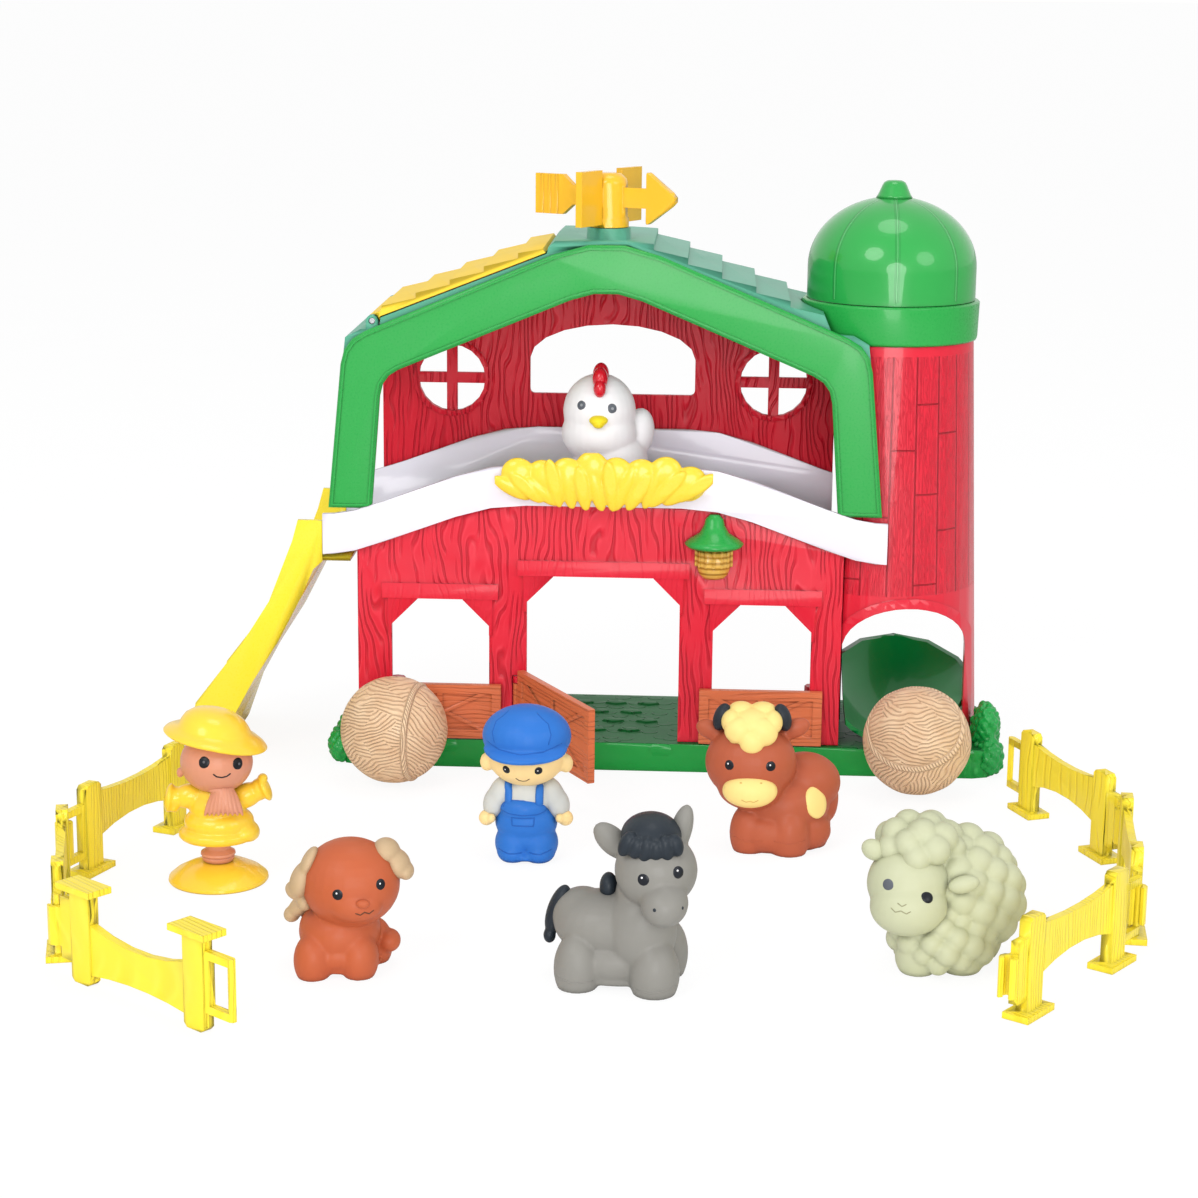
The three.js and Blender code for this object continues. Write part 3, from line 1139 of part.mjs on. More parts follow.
const donkeyShares = [
  [-0.22, -0.14, 0.11, 0.13, 0.13, 0.2], [0.2, -0.2, 0.11, 0.14, 0.14, 0.2],
  [-0.18, 0.16, 0.12, 0.12, 0.13, 0.2], [0.26, 0.1, 0.12, 0.12, 0.13, 0.2],
  [-0.05, 0, 0.34, 0.31, 0.23, 0.2], [0.12, -0.1, 0.32, 0.2, 0.18, 0.24], [-0.2, 0.06, 0.4, 0.17, 0.18, 0.18],
  [0.12, -0.06, 0.52, 0.14, 0.15, 0.16], [0.2, -0.14, 0.66, 0.225, 0.21, 0.22],
  [0.26, -0.3, 0.51, 0.14, 0.15, 0.12, [20, 0, 0]], [0.13, -0.12, 0.79, 0.17, 0.17, 0.13],
  [0.05, 0, 0.62, 0.06, 0.13, 0.2], [-0.02, -0.02, 0.82, 0.07, 0.06, 0.14, [0, -38, 0]],
  [0.34, -0.08, 0.86, 0.06, 0.06, 0.15, [0, 12, 0]],
  [-0.34, 0.08, 0.36, 0.06, 0.07, 0.17, [0, 16, 0]],
];

const sheepShares = (() => {
  const wool = [
    [-0.14, -0.2, 0.1, 0.14, 0.15, 0.18], [0.13, -0.16, 0.1, 0.15, 0.16, 0.18],
    [-0.1, 0.2, 0.1, 0.13, 0.15, 0.18], [0.25, 0.12, 0.12, 0.13, 0.16, 0.18],
    [0.1, 0.04, 0.44, 0.36, 0.34, 0.37], [-0.17, -0.16, 0.62, 0.26, 0.25, 0.3],
    [-0.2, -0.28, 0.42, 0.23, 0.2, 0.23], [-0.4, -0.2, 0.72, 0.075, 0.05, 0.06, [0, 30, 0]],
    [0.08, -0.32, 0.5, 0.09, 0.05, 0.06, [0, -14, 0]],
  ];
  const curls = 6;
  for (let i = 0; i < curls; i += 1) {
    const angle = (i / curls) * Math.PI * 1.5 - Math.PI * 0.3;
    wool.push([0.1 + 0.28 * Math.cos(angle), -0.06, 0.44 + 0.3 * Math.sin(angle), 0.11, 0.19, 0.11]);
  }
  for (const [x, z] of [[-0.34, 0.7], [-0.22, 0.88], [-0.05, 0.88]]) {
    wool.push([x, -0.2, z, 0.11, 0.13, 0.1]);
  }
  return wool;
})();

const chickenShares = [
  [0.05, 0.02, 0.22, 0.3, 0.3, 0.27], [-0.04, -0.02, 0.6, 0.29, 0.28, 0.3], [-0.04, -0.04, 0.45, 0.3, 0.27, 0.25],
  [0.29, 0.1, 0.42, 0.1, 0.14, 0.18, [0, 20, 0]], [-0.04, -0.04, 0.9, 0.045, 0.13, 0.1],
  [-0.05, -0.3, 0.52, 0.06, 0.07, 0.045], [-0.04, -0.2, 0.87, 0.04, 0.07, 0.08],
];

// Scarecrow: stand with a disc and a leg, coat, head with a straw collar, and hat.
function makeScarecrow(place, turn) {
  const high = scarecrowHigh;
  const discRadius = 19;
  const discHigh = 6;
  const legTop = high * 0.46;
  const legRadius = 4.2;
  const seat = high * 0.32;
  const discSteps = 5;
  const disc = [[0, 0], [discRadius, 0]];
  for (let i = 0; i < discSteps; i += 1) {
    const angle = (i / discSteps) * (Math.PI / 2);
    disc.push([discRadius * (1 - 0.02 * i) * Math.cos(angle * 0.92), discHigh * 0.3
      + discHigh * 0.7 * Math.sin(angle)]);
  }
  disc.push([legRadius, discHigh], [legRadius, discHigh * 1.2], [0, discHigh * 1.2]);
  const stand = revolve(disc, 0, 0, 24);
  const legFoot = discHigh * 1.2 + gap;
  const leg = revolve([
    [0, legFoot], [legRadius * 1.15, legFoot], [legRadius * 1.5, legFoot + legRadius * 0.5],
    [legRadius * 1.1, legFoot + legRadius], [legRadius, seat], [legRadius * 0.6, seat + gap],
    [legRadius * 0.6, legTop], [0, legTop],
  ], 0, 0, 14);
  const neck = high * 0.64;
  const coatShares = [[0.245, seat / high], [0.26, 0.36], [0.215, 0.45], [0.16, 0.55], [0.09, 0.63]];
  const coatProfile = [[0, seat + gap * 2], ...coatShares.map(([r, z]) => [r * high, z * high + gap * 2]),
    [0, neck + gap * 2]];
  const sleeve = (sign, grow = 0) => fuse(
    egg([sign * high * 0.17, 0, high * 0.53], [0.15, 0.075, 0.085].map((share) => share * high + grow),
      [0, sign * 6, 0], 7, 5),
    egg([sign * high * 0.3, 0, high * 0.52], [0.045, 0.07, 0.085].map((share) => share * high + grow),
      [0, sign * 8, 0], 6, 4),
  );
  const coat = cut(fuse(revolve(coatProfile, 0, 0, 16), sleeve(-1), sleeve(1)),
    post(0, 0, 0, legTop + gap, legRadius * 0.6 + gap, 12));
  const headFoot = neck + gap * 4;
  const head = cut(fuse(
    egg([0, -high * 0.02, high * 0.72], [high * 0.2, high * 0.19, high * 0.18], [0, 0, 0], 12, 8),
    egg([0, -high * 0.12, high * 0.55], [high * 0.13, high * 0.08, high * 0.09], [0, 0, 0], 8, 6),
  ), revolve(coatProfile.map(([r, z]) => [r > 0 ? r + gap : 0, z > high * 0.4 ? z + gap : z - gap]), 0, 0, 16),
  sleeve(-1, gap * 2), sleeve(1, gap * 2), box(-high, high, -high, high, high * 0.79, high * 2));
  const hatFoot = high * 0.79 + gap;
  const hatTop = high;
  const hat = revolve([
    [0, hatFoot], [high * 0.28, hatFoot - gap * 0.5], [high * 0.285, hatFoot + high * 0.02],
    [high * 0.22, hatFoot + high * 0.045], [high * 0.2, hatFoot + high * 0.11],
    [high * 0.16, hatTop - high * 0.03], [high * 0.08, hatTop], [0, hatTop],
  ], 0, 0, 20);
  const pieces = [
    piece('scarecrow_stand', stand, 'maize'), piece('scarecrow_leg', leg, 'straw'),
    piece('scarecrow_coat', coat, 'maize'), piece('scarecrow_head', head, 'straw'),
    piece('scarecrow_hat', hat, 'maize'),
  ];
  for (const part of pieces) {
    part.position.set(...place);
    part.rotation.z = THREE.MathUtils.degToRad(turn);
  }
}

// Ball-shaped bale: two halves joined at a raised band.
function makeBall(name, place, tilt) {
  const bandHalf = 3;
  const bandRise = 0.6;
  const steps = 9;
  const profile = [];
  for (let i = 0; i <= steps; i += 1) {
    const angle = -Math.PI / 2 + (Math.PI * i) / steps;
    const z = ballRadius * Math.sin(angle);
    const rise = Math.abs(z - ballRadius / 3) < bandHalf * 1.5 ? bandRise : 0;
    profile.push([i % steps === 0 ? 0 : (ballRadius - bandRise + rise) * Math.cos(angle), z]);
  }
  const part = piece(name, revolve(profile, 0, 0, 15), 'hay', { roughness: 0.7 });
  part.position.set(...place);
  part.rotation.set(...tilt.map((angle) => THREE.MathUtils.degToRad(angle)));
}

piece('base', makeBase(), 'green', { roughness: 0.3 });
screwPlaces.forEach((place, i) => piece(`base_screw_${i + 1}`, makeScrew(place), 'steel', { metalness: 1 }));
piece('barn_wall', makeBarnWall(), 'red');
piece('loft_tray', makeTray(), 'white', { roughness: 0.25 });
piece('hay_trim', makeHayTrim(), 'maize');
piece('back_wall', makeBackWall(), 'red');
piece('gable_frame', makeGable(), 'green', { roughness: 0.2 });
piece('roof_shell', makeRoof(), 'green', { roughness: 0.25 });
piece('roof_hatch', makeHatch(), 'maize');
piece('hatch_pin', makeHatchPin(), 'steel', { metalness: 1 });
const vane = piece('weather_vane', makeVane(), 'maize');
vane.position.y = vaneY;
vane.rotation.z = THREE.MathUtils.degToRad(-28);
piece('vane_pin', makeVanePin(), 'green');
piece('silo_wall', makeSilo(), 'red');
piece('silo_chute', makeChute(), 'deepGreen', { roughness: 0.2 });
piece('silo_ring', makeRing(), 'green', { roughness: 0.2 });
piece('silo_dome', makeDome(), 'green', { roughness: 0.15 });
piece('dome_pin', makeDomePin(), 'steel', { metalness: 1 });
piece('lantern_cap', makeLanternCap(), 'green');
piece('lantern_glass', makeLanternGlass(), 'amber', { roughness: 0.2 });
piece('gate_left', makeSideGate(0), 'wood', { roughness: 0.6 });
piece('gate_right', makeSideGate(2), 'wood', { roughness: 0.6 });
piece('gate_hinge', makeGateHinge(), 'red');
const middleGate = piece('gate_middle', makeMiddleGate(), 'wood', { roughness: 0.6 });
middleGate.position.set(gateHingeX, gateHingeY, gateFoot);
middleGate.rotation.z = THREE.MathUtils.degToRad(-61);
piece('slide', makeSlide(), 'lemon', { roughness: 0.3 });

const trayFloorTop = trayTop + trayBottom + trayFloorThick + gap;
const farmerPlace = [-24, -160, 0];
const calfPlace = [73.5, -135, 0];
const puppyPlace = [-80, -283, 0];
const donkeyPlace = [17.5, -287, 0];
const sheepPlace = [129.5, -261, 0];
const chickenPlace = [-1.5, -8, trayFloorTop];
const scarecrowPlace = [-139.5, -195, 0];
const leftBallPlace = [-88, -67, ballRadius];
const rightBallPlace = [135.6, -66, ballRadius];
figure('farmer', farmerHigh, farmerShares, 'blue', farmerPlace);
figure('calf', calfHigh, calfShares, 'brown', calfPlace);
figure('puppy', puppyHigh, puppyShares, 'terracotta', puppyPlace);
figure('donkey', donkeyHigh, donkeyShares, 'grey', donkeyPlace);
figure('sheep', sheepHigh, sheepShares, 'wool', sheepPlace);
figure('chicken', chickenHigh, chickenShares, 'hen', chickenPlace);
makeScarecrow(scarecrowPlace, 6);
makeBall('hay_ball_left', leftBallPlace, [-20, 35, 0]);
makeBall('hay_ball_right', rightBallPlace, [25, -12, 0]);

const rightChainStart = [147.2, -321.8];
const leftChainStart = [-163.5, -120.3];
fenceChain('fence_right', rightChainStart, [54.2, 84.8, 112.1], [false, false, false]);
fenceChain('fence_left', leftChainStart, [-110.8, -77.4, -38.8], [false, false, true]);

export default group;
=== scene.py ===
import json
import math
import random

import bmesh
import bpy
import numpy as np
from mathutils import Euler, Matrix, Vector
from mathutils.bvhtree import BVHTree

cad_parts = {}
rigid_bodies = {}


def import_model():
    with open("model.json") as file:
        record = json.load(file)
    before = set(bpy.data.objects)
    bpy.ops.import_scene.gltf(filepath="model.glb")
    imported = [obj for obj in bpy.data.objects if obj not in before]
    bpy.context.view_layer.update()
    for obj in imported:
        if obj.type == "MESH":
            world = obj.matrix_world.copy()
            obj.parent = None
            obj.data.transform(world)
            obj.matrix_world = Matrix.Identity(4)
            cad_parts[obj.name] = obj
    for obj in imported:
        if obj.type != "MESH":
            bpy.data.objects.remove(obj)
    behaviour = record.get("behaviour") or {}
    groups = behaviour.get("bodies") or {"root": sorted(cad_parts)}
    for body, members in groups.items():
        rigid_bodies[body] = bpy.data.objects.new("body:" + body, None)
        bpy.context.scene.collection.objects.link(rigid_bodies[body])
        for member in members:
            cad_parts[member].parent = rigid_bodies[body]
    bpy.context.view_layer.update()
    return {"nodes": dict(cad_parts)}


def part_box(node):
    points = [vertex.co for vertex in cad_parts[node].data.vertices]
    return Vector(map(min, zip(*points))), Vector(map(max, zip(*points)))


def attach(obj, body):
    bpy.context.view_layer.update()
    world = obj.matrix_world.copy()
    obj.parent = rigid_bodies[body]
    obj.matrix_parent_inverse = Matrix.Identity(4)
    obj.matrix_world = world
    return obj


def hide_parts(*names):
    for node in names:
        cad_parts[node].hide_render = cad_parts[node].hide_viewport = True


for leftover in list(bpy.data.objects):
    bpy.data.objects.remove(leftover)
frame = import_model()
nodes = frame["nodes"]
mm = 0.001
scene = bpy.context.scene
scene.view_settings.view_transform = "Standard"


# Camera, light and floor

def rgb(red, green, blue):
    """A colour from 0..255 as it looks on a screen, in linear numbers."""
    def linear(part):
        part /= 255
        return part / 12.92 if part <= 0.04045 else ((part + 0.055) / 1.055) ** 2.4
    return (linear(red), linear(green), linear(blue), 1.0)


def turned_by(degrees, axis):
    return Matrix.Rotation(math.radians(degrees), 4, axis)


def make_camera():
    """The photograph's view: a little from the right, looking down, with a slight roll, in degrees."""
    from_right, down, roll = 2.567, 13.1, 0.6
    place = Vector((47.34, -1133.73, 331.79)) * mm
    focal_pixels, photo_pixels, sensor = 2600, 1198, 36
    data = bpy.data.cameras.new("camera")
    data.sensor_width = sensor
    data.lens = focal_pixels / photo_pixels * sensor
    data.clip_end = 1000.0
    camera = bpy.data.objects.new("camera", data)
    scene.collection.objects.link(camera)
    turn = turned_by(from_right, "Z") @ turned_by(90 - down, "X") @ turned_by(roll, "Z")
    camera.matrix_world = Matrix.Translation(place) @ turn
    scene.camera = camera


def make_lamp(name, place, target, wide, watts):
    """A soft round lamp, aimed at a target. Places and widths are in metres."""
    data = bpy.data.lights.new(name, "AREA")
    data.shape = "DISK"
    data.size = wide
    data.energy = watts
    lamp = bpy.data.objects.new(name, data)
    scene.collection.objects.link(lamp)
    aim = (Vector(target) - Vector(place)).to_track_quat("-Z", "Y")
    lamp.matrix_world = Matrix.Translation(place) @ aim.to_matrix().to_4x4()


class Value:
    """A shader socket that Python expressions work on."""

    def __init__(self, tree, socket):
        self.tree = tree
        self.socket = socket

    def math(self, operation, *others, swapped=False):
        """A Math node on this value and others."""
        node = self.tree.nodes.new("ShaderNodeMath")
        node.operation = operation
        values = [self, *others]
        for socket, value in zip(node.inputs, values[::-1] if swapped else values):
            join(self.tree, socket, value)
        return Value(self.tree, node.outputs[0])

    def __add__(self, other):
        return self.math("ADD", other)

    def __sub__(self, other):
        return self.math("SUBTRACT", other)

    def __rsub__(self, other):
        return self.math("SUBTRACT", other, swapped=True)

    def __mul__(self, other):
        return self.math("MULTIPLY", other)

    def __truediv__(self, other):
        return self.math("DIVIDE", other)

    def __abs__(self):
        return self.math("ABSOLUTE")

    __radd__ = __add__
    __rmul__ = __mul__

    def over(self, edge, soft):
        """0 below the edge, 1 above it, with a soft step between."""
        return ((self - edge) / soft + 0.5).math("MINIMUM", 1.0).math("MAXIMUM", 0.0)

    def under(self, edge, soft):
        """1 below the edge, 0 above it."""
        return 1 - self.over(edge, soft)

    def most(self, other):
        """The larger of two values."""
        return self.math("MAXIMUM", other)


def join(tree, socket, value):
    """Links a value to a socket, or sets the socket to a number, a vector or a colour."""
    if isinstance(value, Value):
        tree.links.new(value.socket, socket)
    else:
        socket.default_value = value


class Shading:
    """A node tree that one method adds every node to."""

    def __init__(self, tree):
        self.tree = tree
        tree.nodes.clear()

    def node(self, kind, settings, inputs, output=0):
        """Any node: its settings first, then the values or links of its sockets."""
        made = self.tree.nodes.new(kind)
        for key, setting in settings.items():
            setattr(made, key, setting)
        for key, value in inputs.items():
            join(self.tree, made.inputs[key], value)
        return Value(self.tree, made.outputs[output]) if made.outputs else None

    def camera_ray(self, *others):
        """1 for a ray straight from the camera, or of one of the other kinds named."""
        seen = self.node("ShaderNodeLightPath", {}, {}, "Is Camera Ray")
        for kind in others:
            seen = seen.most(self.node("ShaderNodeLightPath", {}, {}, kind))
        return seen


class Finish(Shading):
    """One material and its slot: a Principled shader, and what changes over its surface."""

    def __init__(self, name, slot=None, **fixed):
        self.slot = slot
        self.material = bpy.data.materials.new(name)
        self.material.use_nodes = True
        super().__init__(self.material.node_tree)
        sockets = {key.replace("_", " ").title().replace("Ior", "IOR"): number
                   for key, number in fixed.items()}
        self.surface = self.node("ShaderNodeBsdfPrincipled", {}, sockets)
        self.shader = self.tree.nodes[-1]
        self.end = None
        self.finish_with(self.surface)

    def finish_with(self, surface):
        """Sends a surface to the material's output, which the first call makes."""
        if self.end is None:
            self.node("ShaderNodeOutputMaterial", {}, {0: surface})
            self.end = self.tree.nodes[-1]
        else:
            join(self.tree, self.end.inputs[0], surface)

    def feed(self, key, value):
        """Gives the Principled shader's own socket a value."""
        join(self.tree, self.shader.inputs[key], value)

    def colour(self, shade, reach=2.5, share=0.55):
        """The base colour, with painted shade: darker by a share in crevices within a reach in millimetres.
        """
        # Painted shade: ambient occlusion darkens the colour where crevices hold shade
        open_air = self.node("ShaderNodeAmbientOcclusion", {"samples": 4}, {"Distance": reach * mm}, "AO")
        self.feed("Base Color", self.mix(open_air.under(0.62, 0.4) * share, shade, self.dark))

    def plain(self, colour):
        """A colour with the finish's own clouds of a deeper one."""
        return self.mix(self.cloud - 0.3, colour, self.deep)

    def place(self, origin=(0, 0, 0), scale=1000.0):
        """Object coordinates from an origin in millimetres, times a scale."""
        here = self.node("ShaderNodeTexCoord", {}, {}, "Object")
        moved = self.node("ShaderNodeVectorMath", {"operation": "SUBTRACT"},
                          {0: here, 1: [part * mm for part in origin]})
        return self.node("ShaderNodeVectorMath", {"operation": "SCALE"}, {0: moved, "Scale": scale})

    def parts(self, vector):
        """The three numbers of a vector."""
        return [self.node("ShaderNodeSeparateXYZ", {}, {0: vector}, axis) for axis in "XYZ"]

    def vector(self, x, y, z):
        return self.node("ShaderNodeCombineXYZ", {}, {"X": x, "Y": y, "Z": z})

    def noise(self, vector, scale, detail=2.0):
        return self.node("ShaderNodeTexNoise", {}, {"Vector": vector, "Scale": scale, "Detail": detail})

    def mix(self, mask, low, high):
        """A colour between two, by a mask. The Mix node's sockets for colours are known by number."""
        share, first, second, mixed = 0, 6, 7, 2
        inputs = {share: mask, first: low, second: high}
        return self.node("ShaderNodeMix", {"data_type": "RGBA"}, inputs, mixed)

    def relief(self, height, edge=0.0):
        """Bump from a height in millimetres, over edges rounded by a radius in millimetres."""
        inputs = {"Strength": 1.0, "Distance": mm, "Height": height}
        if edge:
            inputs["Normal"] = self.node("ShaderNodeBevel", {"samples": 4}, {"Radius": edge * mm})
        self.feed("Normal", self.node("ShaderNodeBump", {}, inputs))


def make_stage():
    """A pale floor and world that the camera sees as white, and four soft lamps."""
    half_wide, sunk = 300.0, 0.0002
    white = (1.0, 1.0, 1.0, 1.0)
    bm = bmesh.new()
    bmesh.ops.create_grid(bm, x_segments=8, y_segments=8, size=half_wide)
    floor = bpy.data.objects.new("floor", mesh_from(bm, "floor"))
    scene.collection.objects.link(floor)
    floor.location.z = -sunk
    pale = Finish("pale_floor", roughness=0.7)
    cloud = pale.noise(pale.place(), 0.01)
    pale.feed("Base Color", pale.mix(cloud, rgb(240, 240, 241), rgb(247, 247, 248)))
    glow = pale.node("ShaderNodeEmission", {}, {"Color": white, "Strength": 1.05})
    shown = pale.node("ShaderNodeMixShader", {}, {0: pale.camera_ray() * 0.86, 1: pale.surface, 2: glow})
    pale.finish_with(shown)
    floor.data.materials.append(pale.material)

    world = bpy.data.worlds.new("studio")
    scene.world = world
    world.use_nodes = True
    sky = Shading(world.node_tree)
    seen, lit = 1.0, 0.52
    strength = sky.camera_ray("Is Glossy Ray", "Is Transmission Ray") * (seen - lit) + lit
    back = sky.node("ShaderNodeBackground", {}, {"Color": white, "Strength": strength})
    sky.node("ShaderNodeOutputWorld", {}, {0: back})
    make_lamp("key", (-0.8, -1.5, 1.3), (0.0, 0.0, 0.1), 0.9, 11)
    make_lamp("front", (0.2, -1.9, 0.35), (0.0, 0.0, 0.12), 0.9, 13)
    make_lamp("fill", (1.3, -1.2, 0.9), (0.0, -0.1, 0.1), 0.8, 5)
    make_lamp("top", (0.1, -0.1, 1.6), (0.0, -0.1, 0.0), 0.7, 4)


# Finishes

def darker(colour, share):
    """A share of a colour's light."""
    return tuple(part * share for part in colour[:3]) + (1.0,)


def moulded(name, slot, colour, deep=None, roughness=0.28, coat=0.35, mottle=0.5, edge=0.35):
    """Moulded plastic: faint flow clouds, a fine skin, a thin gloss, softly rounded edges and painted shade
    in crevices.
    """
    cloud_scale, skin_scale, skin_high = 0.045, 0.9, 0.008
    finish = Finish(name, slot, coat_roughness=0.05, specular_ior_level=0.25)
    finish.here = finish.place()
    finish.cloud = finish.noise(finish.here, cloud_scale, 3.0)
    finish.deep = deep or darker(colour, 0.86)
    # Painted shade: the darker copy of the colour that crevices are mixed towards
    finish.dark = darker(colour, 0.45)
    finish.edge = edge
    finish.colour(finish.mix((finish.cloud - 0.3) * mottle, colour, finish.deep))
    fine = finish.noise(finish.here, skin_scale, 2.0)
    finish.feed("Roughness", roughness + (fine - 0.5) * 0.08)
    finish.feed("Coat Weight", coat + (finish.cloud - 0.5) * 0.2)
    finish.skin = (fine - 0.5) * skin_high
    finish.relief(finish.skin, edge)
    return finish


def carved(name, slot, colour, dark, light, pitch=3.3, depth=0.45, flame=9.0, upright=True,
           smooth_front=None, roughness=0.36, strength=0.6, coat=0.15, crevice_shade=(2.5, 0.55)):
    """Wood grain as a mould carves it: grooves that wander, close into flames and fade, in painted shade,
    with painted highlight on the ridges beside them.
    """
    finish = moulded(name, slot, colour, roughness=roughness, coat=coat)
    x, y, z = finish.parts(finish.here)
    across, along = (x + y, z) if upright else (z, x + y)
    drift = finish.noise(finish.vector(across * 0.05, along * 0.017, 0.0), 1.0, 2.0)
    wave = (across / pitch + drift * flame).math("FRACT") - 0.5
    fade = finish.noise(finish.vector(across * 0.2, along * 0.04, 5.0), 1.0, 1.0).over(0.44, 0.16)
    if smooth_front is not None:
        fade = fade * (y.over(smooth_front, 0.3) * 0.8 + 0.2)
    groove = abs(wave).under(0.14, 0.16) * fade
    ridge = abs(abs(wave) - 0.26).under(0.07, 0.1) * fade
    # Painted highlight on the ridges beside each groove
    highlit_ridges = finish.mix(ridge * strength * 0.7, finish.plain(colour), light)
    # Painted shade in the grooves, then painted shade in the crevices
    finish.colour(finish.mix(groove * strength, highlit_ridges, dark), *crevice_shade)
    finish.relief(finish.skin - groove * depth, finish.edge)
    return finish


def silo_middle():
    """The silo's upright middle line, in millimetres, from the round front of its ring."""
    low, high = (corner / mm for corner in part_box("silo_ring"))
    return Vector(((low.x + high.x) / 2, low.y + (high.x - low.x) / 2, 0))


def planked(name, slot, colour, dark, light):
    """The silo's boards: grooves at even turns about its middle, and joints at chosen heights, in painted
    shade, with painted highlight on the board edges beside them.
    """
    board_degrees, board_wide = 16.2, 11.0
    boards_low, boards_high, boards_back = 80.0, 183.0, 20.0
    joints = {-3: (132.0,), -2: (86.9, 160.6), -1: (114.4,), 0: (143.2,), 1: (84.7, 124.0, 162.8),
              2: (108.0, 150.0)}
    finish = moulded(name, slot, colour, roughness=0.3)
    x, y, z = finish.parts(finish.place(silo_middle()))
    turn = x.math("ARCTAN2", 0 - y) * (180 / math.pi)
    board = (turn + 0.3) / board_degrees
    edge = abs((board + 0.5).math("FRACT") - 0.5) * board_wide
    groove = edge.under(0.3, 0.3)
    row = board.math("FLOOR")
    for index, heights in joints.items():
        for height in heights:
            groove = groove.most(abs(row - index).under(0.5, 0.1) * abs(z - height).under(0.3, 0.3))
    grain = finish.noise(finish.vector(board * 6.0, z * 0.03, 0.0), 1.0, 2.0)
    line = abs((grain * 14.0).math("FRACT") - 0.5).under(0.1, 0.12) * 0.22
    inside = z.over(boards_low, 0.5) * z.under(boards_high, 0.5) * y.under(boards_back, 1.0)
    groove = groove * inside
    # Painted highlight along the board edges beside the grooves
    beside = edge.under(1.1, 0.6) * inside * 0.35
    # Grooves and joints in painted shade over the highlit edges
    finish.colour(finish.mix(groove, finish.mix(beside, finish.plain(colour), light), dark))
    finish.relief(finish.skin - groove * 0.5 - line * inside, finish.edge)
    return finish


def turfed(name, slot, colour, deep, light):
    """The base: small raised crescents on its top and a leafy skin at its two ends, with painted shade on its
    top and painted highlight on the raised leaves.
    """
    middle_x, plain_reach = 25.0, 128.0
    cell_wide, cell_long = 10.0, 8.5
    finish = moulded(name, slot, colour, deep, roughness=0.5, coat=0.2)
    x, y, z = finish.parts(finish.here)
    upward = finish.parts(finish.node("ShaderNodeNewGeometry", {}, {}, "Normal"))[2].over(0.7, 0.2)
    spread = finish.vector(x / cell_wide, y / cell_long, 0.0)
    cell = finish.node("ShaderNodeTexVoronoi", {"voronoi_dimensions": "2D"},
                       {"Vector": spread, "Scale": 1.0, "Randomness": 0.75}, "Position")
    offset = finish.node("ShaderNodeVectorMath", {"operation": "SUBTRACT"}, {0: spread, 1: cell})
    nx, ny, _ = finish.parts(offset)
    disc = (nx * nx + ny * ny).under(0.12, 0.04)
    bite = (nx * nx + (ny - 0.2) * (ny - 0.2)).over(0.12, 0.04)
    crescent = disc * bite * upward
    leaf = finish.node("ShaderNodeTexVoronoi", {"feature": "SMOOTH_F1"},
                       {"Vector": finish.vector(x * 0.28, y * 0.28, z * 0.2), "Scale": 1.0,
                        "Smoothness": 0.3}, "Distance")
    side = (1 - upward) * abs(x - middle_x).over(plain_reach, 6.0)
    finish.feed("Coat Weight", (1 - upward) * 0.4)
    # Painted shade: faces that look up are mixed towards the deeper green
    plain = finish.mix((finish.cloud - 0.3).over(-0.3, 2.0) * 0.4 + upward * 0.7, colour, deep)
    # Painted highlight on the raised middles of the leaves
    leafy = finish.mix(leaf.under(0.3, 0.2) * side * 0.6, plain, light)
    finish.colour(finish.mix(crescent * 0.6, leafy, deep))
    wave = finish.noise(finish.vector(x * 0.05, y * 0.05, z * 0.09), 1.0, 1.0) * (1 - upward)
    finish.relief(finish.skin + crescent * 0.8 + wave * 1.2 - leaf * side * 1.3, finish.edge)
    return finish


def domed(name, slot, colour, dark, light):
    """The dome's eight raised seams, met at its knob: painted highlight on each seam, painted shade beside
    it.
    """
    knob_radius, skirt_top = 8.5, 206.0
    finish = moulded(name, slot, colour, roughness=0.3, coat=0.6, edge=0.6)
    x, y, z = finish.parts(finish.place(silo_middle()))
    out = (x * x + y * y).math("SQRT")
    eighth = (x.math("ARCTAN2", 0 - y) * (4 / math.pi) + 0.5).math("FRACT")
    seam = abs(eighth - 0.5) * out * (math.pi / 4)
    here = out.over(knob_radius, 0.3) * z.over(skirt_top, 0.4)
    rib = seam.under(0.35, 0.3) * here
    # Painted shade beside each seam
    beside = abs(seam - 0.95).under(0.2, 0.3) * here
    shaded = finish.mix(beside * 0.35, finish.plain(colour), dark)
    # Painted highlight on each raised seam
    finish.colour(finish.mix(rib * 0.35, shaded, light))
    finish.relief(finish.skin + rib * 0.45, finish.edge)
    return finish


def ringed(name, slot, colour, light, pitch):
    """Rings of a pressed lantern glass, one above the other, with painted highlight on their raised crests
    and painted shade between them.
    """
    finish = moulded(name, slot, colour, roughness=0.2)
    ring = abs((finish.parts(finish.here)[2] / pitch).math("FRACT") - 0.5) * 2
    # Painted highlight on the ring crests, painted shade between them
    finish.colour(finish.mix(ring.over(0.35, 0.5), finish.deep, light))
    finish.relief(ring.over(0.3, 0.6) * 0.5, finish.edge)
    return finish


